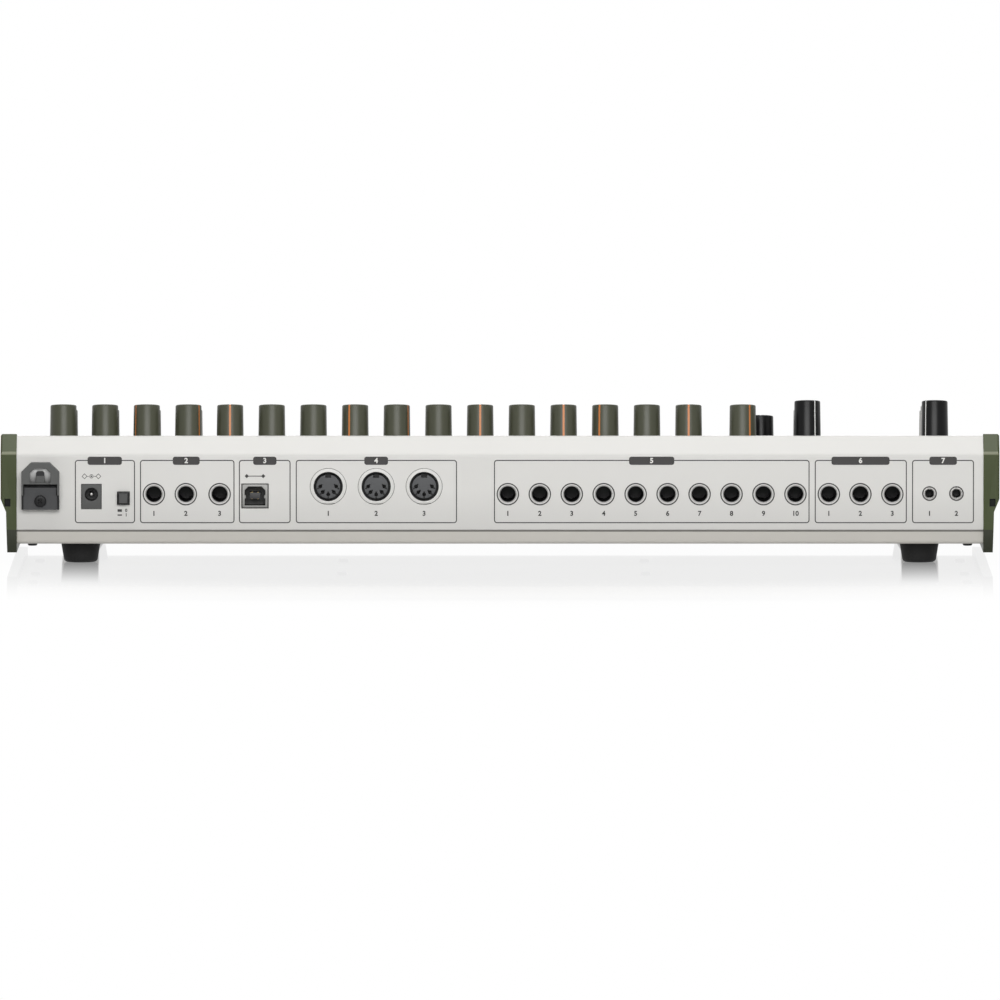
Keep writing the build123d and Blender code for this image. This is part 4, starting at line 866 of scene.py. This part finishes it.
# painted shade: darker grey on the recessed block and step, near black on shaded walls and peg cap
clamp_recess_shade = finish("clamp_recess_shade", (0.062, 0.063, 0.065), 0.50, **clamp_look)
clamp_painted_shadow = finish("clamp_painted_shadow", (0.012, 0.012, 0.013), 0.45, 2200.0, specular=0.25)
clamp_across = -228.6
clamp_half = 9.4
clamp_tall = 23.4
clamp_deep = 8.0
shelf = 12.7               # height of the lower block
block_half = 8.45
block_face = 5.8
step_top, step_face = 7.1, 6.4
past = clamp_deep + 1.0    # the cutters end this far in front of the clamp
clamp = block((-clamp_half, 0.0, 0.0), (clamp_half, clamp_tall, clamp_deep))
round_edges(clamp, upper_corners(clamp_tall - 0.01), 4.7, 1)
eye = block((-5.05, 13.4, -1.0), (5.05, 20.5, past))
round_edges(eye, upper_corners(20.4), 2.2, 1)
cut(clamp, eye)
# a recess for the lower block, a step past its corners, and a gap over it and beside it
cut(clamp, block((-block_half, -1.0, block_face), (block_half, shelf, past)))
cut(clamp, block((-12.0, -1.0, step_face), (12.0, step_top, past)))
cut(clamp, block((-block_half, shelf - 1.7, 1.2), (block_half, shelf, past)))
for side in (-1, 1):
    left, right = sorted((side * block_half, side * (block_half - 0.5)))
    cut(clamp, block((left, step_top, 2.5), (right, shelf, past)))
round_edges(clamp, lambda a, b: min(abs(a.x), abs(b.x)) > clamp_half - 0.01
            and max(a.y, b.y) < step_top + 0.01 and min(a.z, b.z) > step_face - 0.01
            and abs(a.y - b.y) > 1.0, 0.8, 1)
edit(clamp)
bpy.ops.mesh.dissolve_limited(angle_limit=radians(1))
close()
ease(clamp, 0.14)
paint(clamp, clamp_plastic)
# painted shade on the recessed block and step, near black on the walls beside them
paint(clamp, clamp_recess_shade, lambda at, normal: at.y < shelf - 0.2 and abs(at.x) < block_half - 0.1
      or at.y < step_top + 0.1 and at.z < step_face + 0.3)
paint(clamp, clamp_painted_shadow,
      lambda at, normal: abs(at.x) > block_half - 0.1 and at.y < step_top + 0.1)
# the eye's back slopes in from its top edge; it is painted light, with painted shade darkening it
# below
eye_back_painted_light = finish("eye_back_painted_light", (0.74, 0.74, 0.73), 0.55, 2200.0, mottle=0.08, specular=0.2)
shade_zone(eye_back_painted_light, (0.24, 0.24, 0.24), z=(47.6, 41.6))
web = block((-5.5, 13.0, 0.4), (5.5, 20.9, 5.6))
faces_where(web, lambda at, normal: normal.y < -0.9)
bpy.ops.transform.translate(value=(0.0, 0.0, -1.2), orient_type="GLOBAL")
close()
round_edges(web, upper_corners(20.8), 2.2, 1)
paint(web, eye_back_painted_light)
peg = block((-2.2, 13.3, 0.0), (2.2, 16.9, 6.9))
bevel_block(peg, 0.25)
paint(peg, clamp_plastic)
peg_cap = block((-2.05, 16.7, 0.0), (2.05, 19.3, 6.4))
round_edges(peg_cap, upper_corners(19.0), 1.1, 4)
# painted shadow: the peg's cap is near black
paint(peg_cap, clamp_painted_shadow)
clamp = join([clamp, web, peg, peg_cap])
smooth(clamp)
even_flats(clamp)
fit_rear(clamp, "cord_clamp_moulding", [clamp_across], 27.9, "clamp_plastic", "cord_clamp")

screw_black = finish("screw_black", (0.006, 0.006, 0.0065), 0.30, 3000.0, 0.01, specular=0.16)
screw = domed_bar(2.95, 0.0, 1.6, 48, 0.7, 4)
for angle in (45, 135):
    slot = block((-1.45, -0.32, 0.55), (1.45, 0.32, 2.0))
    faces_where(slot, downward)
    widen(0.55, 0.6)
    close()
    cut(screw, turned(slot, angle))
faces_where(screw, downward)
inset(1.45)
raise_faces(-10.0)
close()
smooth(screw)
paint(screw, screw_black)
fit_rear(screw, "clamp_cross_screw", [clamp_across], 32.1, "black_screw", "clamp_screw",
         out=block_face)

# ---- Printing on the socket panel ----
# Dark grey screen print: a rounded frame round each group of sockets with a numbered tab on its
# top line, plain numbers under the sockets, and small signs for inlet, button and data socket.
print_grey = finish("print_grey", (0.049, 0.047, 0.046), 0.5, 2400.0, 0.004, 0.1, specular=0.25)
print_white = finish("print_white", (0.72, 0.71, 0.68), 0.5, 2400.0, 0.004, 0.05)
print_thick = 0.02
print_gap = 0.01           # from the panel to the print


def tile(left, right, low, high, corner=0.0, out=0.0, steps=5):
    """A rounded rectangle in the X-Y plane, without thickness."""
    deselect()
    bpy.ops.mesh.primitive_plane_add(size=1.0)
    bpy.context.object.scale = (right - left, high - low, 1.0)
    bpy.context.object.location = ((left + right) / 2, (low + high) / 2, out)
    flat = settle()
    if corner > 0:
        edit(flat)
        bpy.ops.mesh.bevel(offset=corner, segments=steps, affect="VERTICES")
        close()
    return flat


def thicken(flat):
    """Gives print the thickness of its ink."""
    ink = flat.modifiers.new("ink", "SOLIDIFY")
    ink.thickness = print_thick
    ink.offset = 1.0
    use(flat)
    bpy.ops.object.modifier_apply(modifier="ink")
    return flat


def outline(flat, line):
    """Leaves only a line of ink along the edge of a flat shape."""
    edit(flat)
    inset(line)
    bpy.ops.mesh.delete(type="FACE")
    close()
    return thicken(flat)


def ring(x, y, radius, line):
    """A round line of ink."""
    deselect()
    bpy.ops.mesh.primitive_circle_add(vertices=64, radius=radius, fill_type="NGON",
                                      location=(x, y, 0.0))
    return outline(settle(), line)


def figure(text, x, y, size, out=0.0):
    """Plain numbers, centred on a place."""
    deselect()
    bpy.ops.object.text_add(location=(0.0, 0.0, 0.0))
    letters = bpy.context.object.data
    letters.body = text
    letters.size = size
    letters.align_x = "CENTER"
    letters.align_y = "CENTER"
    letters.offset = 0.035 * size
    letters.resolution_u = 3
    letters.extrude = print_thick / 2
    bpy.ops.object.convert(target="MESH")
    number = bpy.context.object
    edit(number)
    bpy.ops.mesh.remove_doubles(threshold=0.0001)
    close()
    number.data.transform(Matrix.Translation((x, y, out + print_thick / 2)))
    return number


group_edges = ((-211.5, -181.6), (-179.1, -132.1), (-129.9, -104.2), (-101.6, -21.4),
               (-3.0, 154.0), (156.6, 202.4), (205.0, 235.8))
tab_edges = ((-205.2, -188.1), (-162.8, -149.4), (-122.8, -111.2), (-67.5, -55.7), (64.2, 86.7),
             (164.9, 193.8), (213.6, 227.3))
frame_low, frame_high = 20.85, 52.37
tab_low, tab_high = 49.9, 54.0
label_height = 25.6
sign_height = 44.2
rear_print = []
for group, tab in zip(group_edges, tab_edges):
    rear_print += [outline(tile(*group, frame_low, frame_high, 1.5), 0.5),
                   thicken(tile(*tab, tab_low, tab_high, 1.2, print_thick))]
for group in (phone_across[:3], midi_across, phone_across[3:13], phone_across[13:], sync_across):
    rear_print += [figure(str(number), across, label_height, 3.3)
                   for number, across in enumerate(group, start=1)]
# painted shade: thin dark lines of print round the sockets deepen the shade of the gap round each
rear_print += [ring(across, phone_height, 5.6, 0.6) for across in phone_across]
rear_print += [ring(across, sync_height, 3.68, 0.55) for across in sync_across]
rear_print.append(outline(tile(usb_across - 6.85, usb_across + 6.85,
                               usb_height - 6.25, usb_height + 6.25, 0.3), 0.18))
# polarity sign: two diamonds joined to a dotted ring
rear_print += [turned(outline(tile(-1.0, 1.0, -1.0, 1.0), 0.28), 45, (across, sign_height, 0.0))
               for across in (-206.7, -199.8)]
rear_print += [ring(-203.25, sign_height, radius, line)
               for radius, line in ((1.0, 0.28), (0.4, 0.39))]
rear_print += [thicken(tile(left, right, sign_height - 0.15, sign_height + 0.15))
               for left, right in ((-205.3, -204.6), (-201.9, -201.2))]
# push button sign: raised and pressed, with 0 and 1 beside them
rear_print += [thicken(tile(-190.3, -188.1, low, high))
               for low, high in ((26.5, 27.8), (24.6, 25.2))]
rear_print += [figure("0", -186.0, 27.15, 2.2), figure("1", -186.0, 24.9, 2.2)]
# data socket sign: a line with an arrow head at both ends
rear_print.append(thicken(tile(-125.4, -118.4, 44.1, 44.5)))
rear_print += [thicken(turned(tile(-0.75, 0.75, -0.75, 0.75), 45, (across, 44.3, 0.0)))
               for across in (-126.0, -117.8)]
for piece in rear_print:
    paint(piece, print_grey)
for number, (left, right) in enumerate(tab_edges, start=1):
    white = figure(str(number), (left + right) / 2, (tab_low + tab_high) / 2, 3.5,
                   2.5 * print_thick)
    paint(white, print_white)
    rear_print.append(white)
fit_rear(join(rear_print), "socket_panel_print", [0.0], 0.0, "cover_paint", out=print_gap)

# ---- Status lights ----
# Seventeen 3 mm lamps in clear red resin on the control board, their domes through the panel: one
# behind the start key and one behind each step key. Every fourth step's lamp is lit, as in a beat.
board_under = -11.5        # control board's upper face, from the top of the panel
start_x, stop_x = -219.0, -193.6
step_xs = [-162.0 + 25.4 * i for i in range(16)]
light_row = 198.03
lamp_radius = 1.5
lamp_rise = 0.8
lens_look = {"depth": 0.002, "mottle": 0.1}
lamp_dark = finish("light_lens", (0.16, 0.010, 0.008), 0.12, **lens_look)
lamp_lit = finish("light_lens_lit", (0.95, 0.06, 0.03), 0.12, glow=2.2, **lens_look)
lamp = join([
    domed_bar(lamp_radius, board_under, lamp_rise, 24, 0.75, 4),
    domed_bar(lamp_radius + 0.4, board_under, board_under + 1.0, 24, 0.15, 1),
])
smooth(lamp)
lamp_xs = [start_x] + step_xs
lit_xs = [start_x] + step_xs[::4]
rows = []
for xs, lens in (([x for x in lamp_xs if x not in lit_xs], lamp_dark), (lit_xs, lamp_lit)):
    rows.append(set_down(lamp, "status_lamp_row", [on_top(x, light_row) for x in xs]))
    paint(rows[-1], lens)
fit(join(rows), "light_lens", "status_lights")
bpy.data.objects.remove(lamp)

# ---- Display ----
# A smoked acrylic window with a black border, let in flush with the panel over the dark display
# module. The red segment figures and level bars that shine in it are a thin film on its face.
display_x, display_row = -111.0, 130.0
window_half = (50.0, 16.0)
window_smoke = finish("display_window", (0.012, 0.010, 0.010), 0.08, 1200.0, 0.002, 0.3, 0.04)
window_border = finish("window_border", (0.004, 0.004, 0.004), 0.30, 2400.0, 0.004, 0.3)
film_look = {"depth": 0.001, "mottle": 0.1}
figure_lit = finish("figure_lit", (1.0, 0.10, 0.04), 0.3, glow=1.6, **film_look)
figure_dark = finish("figure_dark", (0.035, 0.012, 0.010), 0.2, **film_look)
window = block((-window_half[0], -window_half[1], -1.5), (*window_half, 0.0))
round_edges(window, lambda a, b: min(a.z, b.z) > -0.01, 0.25, 2)
faces_where(window, upward)
inset(2.2)
close()
smooth(window)
paint(window, window_border)
paint(window, window_smoke, lambda at, normal: normal.z > 0.9 and abs(at.x) < 1.0)


def bar(x, y, width, height, slant, material):
    """One bar of the display: a flat bevelled stroke that leans a little."""
    stroke = tile(-width / 2, width / 2, -height / 2, height / 2,
                  min(width, height) * 0.45, steps=1)
    lean = Matrix.Identity(4)
    lean[0][1] = slant
    stroke.data.transform(lean @ Matrix.Translation((x, y, 0.005)))
    paint(thicken(stroke), material)
    return stroke


# strokes of one figure: place and size in units of its half height
strokes = {
    "top": (0.0, 1.0, 0.95, 0.2), "middle": (0.0, 0.0, 0.95, 0.2),
    "bottom": (0.0, -1.0, 0.95, 0.2),
    "upper_left": (-0.56, 0.5, 0.2, 0.88), "upper_right": (0.56, 0.5, 0.2, 0.88),
    "lower_left": (-0.56, -0.5, 0.2, 0.88), "lower_right": (0.56, -0.5, 0.2, 0.88),
}
lit_strokes = {
    "1": ("upper_right", "lower_right"),
    "2": ("top", "upper_right", "middle", "lower_left", "bottom"),
    "0": ("top", "upper_left", "upper_right", "lower_left", "lower_right", "bottom"),
}
figure_half = 7.0
figure_x, figure_y, figure_pitch = -32.0, 1.0, 13.5
level_x, level_y, level_pitch, level_rise = 8.0, -7.0, 2.45, 3.6
beat_levels = (5, 1, 3, 1, 4, 2, 3, 1)
lit_film = [window]
for place, digit in enumerate("120"):
    for stroke, (x, y, width, height) in strokes.items():
        lit = figure_lit if stroke in lit_strokes[digit] else figure_dark
        lit_film.append(bar(
            figure_x + figure_pitch * place + x * figure_half,
            figure_y + y * figure_half, width * figure_half, height * figure_half, 0.1, lit))
for column in range(16):
    for level in range(5):
        lit = figure_lit if level < beat_levels[column % 8] else figure_dark
        lit_film.append(bar(level_x + level_pitch * column,
                            level_y + level_rise * level, 1.7, 1.5, 0.0, lit))
fit_copies(join(lit_film), "display_window_panel", [on_top(display_x, display_row)],
           "display_window", "display_window")
dress("display_module", finish("display_module", (0.02, 0.021, 0.022), 0.5))

# ---- Printing on the top panel ----
# The same grey screen print: tick marks round the knobs, a fine line down each voice column with
# its number, frames round the fields, and the steps numbered behind their lamps.
volume_x, tempo_x, data_x, accent_x = -216.7, -153.2, -130.2, -121.0
level_xs = [-94.0 + 20.773 * i for i in range(16)]
first_row, second_row, third_row = 14.0, 44.0, 74.0
key_row, pattern_row = 222.03, 182.03
function_rows = (118.0, 142.0)
function_xs = [start_x, stop_x] + step_xs[6:]
knob_places = {
    "volume_knob": (volume_x, first_row), "mix_knob": (volume_x, second_row),
    "drive_knob": (volume_x, third_row), "tempo_knob": (tempo_x, first_row),
    "swing_knob": (tempo_x, second_row), "data_knob": (data_x, second_row),
    "accent_knob": (accent_x, first_row),
}
for number, x in enumerate(level_xs, start=1):
    knob_places[f"level_knob_{number:02d}"] = (x, first_row)
for number, x in enumerate(level_xs[12:], start=1):
    knob_places[f"decay_knob_{number}"] = (x, second_row)
tick_half, tick_start, tick_end, long_tick_end = 0.17, 8.1, 9.2, 9.7
line_half = 0.12
dial = join([
    thicken(turned(tile(-tick_half, tick_half, tick_start,
                        tick_end if i % 5 else long_tick_end), 30 * i - 150))
    for i in range(11)
])
paint(dial, print_grey)
top_print = [set_down(dial, "top_panel_print",
                      [on_top(x, row, print_gap) for x, row in knob_places.values()])]
bpy.data.objects.remove(dial)
flat_print = []
for number, x in enumerate(level_xs, start=1):
    line_start = 60.0 if number > 12 else 31.5
    flat_print += [figure(str(number), x, -27.0, 3.0),
                   thicken(tile(x - line_half, x + line_half, -96.0, -line_start))]
flat_print += [figure(str(number), x, -191.6, 3.2) for number, x in enumerate(step_xs, start=1)]
for left, right, far, near in (
    (start_x - 9.6, stop_x + 9.6, 106.0, 152.0),
    (step_xs[6] - 11.0, step_xs[-1] + 9.6, 106.0, 152.0),
    (step_xs[0] - 11.4, step_xs[-1] + 11.4, 174.0, 239.0),
    (-165.0, -57.0, 110.0, 150.0),
):
    flat_print.append(outline(tile(left, right, -near, -far, 2.0), 0.35))
for i in (4, 8, 12):
    split = (step_xs[i - 1] + step_xs[i]) / 2
    flat_print.append(thicken(tile(split - line_half, split + line_half, -239.0, -174.0)))
for piece in flat_print:
    paint(piece, print_grey)
flat_sheet = join(flat_print)
top_print.append(set_down(flat_sheet, "top_panel_print", [on_top(0.0, 0.0, print_gap)]))
bpy.data.objects.remove(flat_sheet)
fit(join(top_print), "cover_paint")

# ---- Knobs ----
# Twenty-seven moulded knobs pressed on 6 mm spindles. Each is a tapered cap with a rounded
# shoulder, a hollow underside round a hub, and an inlaid pointer line over its top and down its
# side.
knob_gap = 1.0             # from the panel to the hub
skirt_drop = 0.6           # the skirt reaches this far below the hub
spindle_radius = 3.0
spindle_end = -11.0
hub_radius = 4.2
crown = 0.15               # the top's middle stands this much over its rim
level_sizes = (6.7, 6.48, 15.4)
tall_sizes = (6.72, 6.45, 17.5)
data_sizes = (6.6, 6.4, 12.4)
pointer_start = 2.0
knob_olive = finish("knob_olive", (0.055, 0.0575, 0.036), 0.34, 3000.0, 0.012, 0.12, specular=0.33)
knob_black = finish("knob_black", (0.0015, 0.0015, 0.0017), 0.26, 3000.0, 0.008, specular=0.18)
knob_grey = finish("knob_grey", (0.44, 0.435, 0.42), 0.42, 3000.0, 0.02, 0.1)
pointer_look = {"roughness": 0.40, "grain": 3000.0, "depth": 0.005, "mottle": 0.06}
pointer_orange = finish("pointer_orange", (0.52, 0.175, 0.045), **pointer_look)
pointer_white = finish("pointer_white", (0.86, 0.86, 0.84), **pointer_look)
pointer_dark = finish("pointer_dark", (0.03, 0.03, 0.03), **pointer_look)
spindle_steel = finish("spindle_steel", (0.60, 0.59, 0.56), 0.28, 2400.0, 0.01, 0.12, metallic=1.0)


def knob_pattern(sizes, plastic, line, pointer_half):
    """A knob round its spindle: sizes are the radius at its base and top, and its height."""
    base, top, height = sizes
    rim = height - crown
    cap = round_bar(base, -skirt_drop, rim, 64)
    faces_where(cap, upward)
    widen(top / base)
    close()
    faces_where(cap, downward)
    inset(1.4)
    raise_faces(rim - 2.5 + skirt_drop)
    close()
    round_edges(cap, lambda a, b: min(a.z, b.z) > rim - 0.01
                and min(a.xy.length, b.xy.length) > top - 0.05, 0.7, 4)
    faces_where(cap, upward_over(rim - 0.01))
    for step in range(2):
        inset(2.0)
        bpy.ops.transform.translate(value=(0.0, 0.0, crown / 2))
    close()
    for x in (-pointer_half, pointer_half):
        bisect(cap, (x, 0.0, 0.0), (1.0, 0.0, 0.0))
    bisect(cap, (0.0, pointer_start, 0.0), (0.0, 1.0, 0.0))

    def on_line(at, normal):
        outside = at.xy.length > base - 1.2 or at.z > rim - 1.5 and normal.z > 0.1
        return (abs(at.x) < pointer_half - 0.01 and at.y > pointer_start and outside
                and normal.z > -0.5)

    faces_where(cap, on_line)
    inset(0.0001, -0.12)
    close()
    smooth(cap, 28)
    paint(cap, plastic)
    paint(cap, line, on_line)
    hub = round_bar(hub_radius, 0.05, rim - 2.4, 32)
    round_edges(hub, rim_below(0.06), 0.3, 2)
    smooth(hub)
    paint(hub, plastic)
    spindle = round_bar(spindle_radius, spindle_end, 0.6, 32)
    round_edges(spindle, rim_below(spindle_end + 0.1), 0.4, 2)
    smooth(spindle)
    paint(spindle, spindle_steel)
    return join([cap, hub, spindle])


level_rests = (0, -130, -27, 0, 150, 0, -120, 60, -27, 120, 140, 0, 56, -57, 130, 150)
olive_rests = {f"level_knob_{i:02d}": rest for i, rest in enumerate(level_rests, start=1)}
olive_rests["accent_knob"] = 32
olive_rests |= {f"decay_knob_{i}": rest for i, rest in enumerate((-40, 20, 130, 150), start=1)}
# each kind of knob, and the angle at which its pointers rest
for sizes, slot, plastic, line, pointer_half, rests in (
    (level_sizes, "knob_olive", knob_olive, pointer_orange, 0.5, olive_rests),
    (tall_sizes, "knob_black", knob_black, pointer_white, 0.32,
     {"volume_knob": -45, "tempo_knob": 35}),
    (data_sizes, "knob_black", knob_black, knob_black, 0.4, {"data_knob": 0}),
    (tall_sizes, "knob_grey", knob_grey, pointer_dark, 0.4,
     {"mix_knob": 10, "drive_knob": 140}),
    (level_sizes, "knob_grey", knob_grey, pointer_dark, 0.4, {"swing_knob": 0}),
):
    pattern = knob_pattern(sizes, plastic, line, pointer_half)
    for node, rest in rests.items():
        x, row = knob_places[node]
        place = on_top(x, row, knob_gap, radians(rest))
        fit(set_down(pattern, node + "_cap", [place]), slot, node, body=node)
    bpy.data.objects.remove(pattern)

# ---- Keys and buttons ----
# Moulded caps that rise through square windows in the cover. A flange under the sheet keeps each
# one in, and a short stem below presses its switch. Their tops are a little dished.
flange_low, flange_top = -3.0, -1.8
flange_out = 1.2
key_sizes = (19.4, 28.0, 4.0, 1.0, -5.9)
button_sizes = (14.0, 7.0, 2.2, 0.5, -6.4)
key_look = {"roughness": 0.42, "grain": 2800.0}
key_olive = finish("key_olive", (0.088, 0.098, 0.058), mottle=0.12, **key_look)
key_black = finish("key_black", (0.018, 0.018, 0.019), **key_look)
key_light = finish("key_light", (0.60, 0.585, 0.545), mottle=0.06, **key_look)
key_pale_olive = finish("key_pale_olive", (0.30, 0.31, 0.235), mottle=0.08, **key_look)
button_grey = finish("button_grey", (0.36, 0.357, 0.345), mottle=0.08, **key_look)
button_olive = finish("button_olive", (0.088, 0.098, 0.058), mottle=0.12, **key_look)


def cap_pattern(sizes):
    """A cap in its window: sizes are width, length, rise, edge rounding and the stem's end."""
    width, length, rise, edge, stem_low = sizes
    x, y = width / 2, length / 2
    cap = block((-x, -y, flange_low), (x, y, rise - edge))
    round_edges(cap, lambda a, b: abs(a.z - b.z) > 1.0, edge, 4)
    faces_where(cap, upward)
    for step in range(4):
        start, end = pi / 8 * step, pi / 8 * (step + 1)
        inset(0.85 * edge * (cos(start) - cos(end)), edge * (sin(end) - sin(start)))
    for step in range(3):
        raise_faces(-0.12 * edge / (step + 1))
        widen(1.0 - 1.6 * edge / width, 1.0 - 1.6 * edge / length)
    close()
    x, y = x + flange_out, y + flange_out
    flange = block((-x, -y, flange_low), (x, y, flange_top))
    bevel_block(flange, 0.2, 1)
    stem = block((-2.0, -2.0, stem_low), (2.0, 2.0, flange_low))
    bevel_block(stem, 0.3, 1)
    cap = join([cap, flange, stem])
    smooth(cap)
    return cap


def fit_caps(pattern, name, body, slot, plastic, places):
    """Sets a row of caps of one colour in their windows."""
    row = set_down(pattern, name, [on_top(x, line) for x, line in places])
    paint(row, plastic)
    fit(row, slot, body, body=body)


step_key = cap_pattern(key_sizes)
fit_caps(step_key, "start_key_cap", "start_button", "key_olive", key_olive, [(start_x, key_row)])
fit_caps(step_key, "stop_key_cap", "stop_button", "key_black", key_black, [(stop_x, key_row)])
for first, body, slot, plastic in (
    (0, "step_keys_01_04", "key_light", key_light),
    (4, "step_keys_05_08", "key_pale_olive", key_pale_olive),
    (8, "step_keys_09_12", "key_light", key_light),
    (12, "step_keys_13_16", "key_pale_olive", key_pale_olive),
):
    fit_caps(step_key, body + "_caps", body, slot, plastic,
             [(x, key_row) for x in step_xs[first:first + 4]])
bpy.data.objects.remove(step_key)
button = cap_pattern(button_sizes)
fit_caps(button, "function_button_caps", "function_buttons", "button_grey", button_grey,
         [(x, line) for line in function_rows for x in function_xs])
fit_caps(button, "pattern_button_caps", "pattern_buttons", "button_olive", button_olive,
         [(x, pattern_row) for x in step_xs])
bpy.data.objects.remove(button)
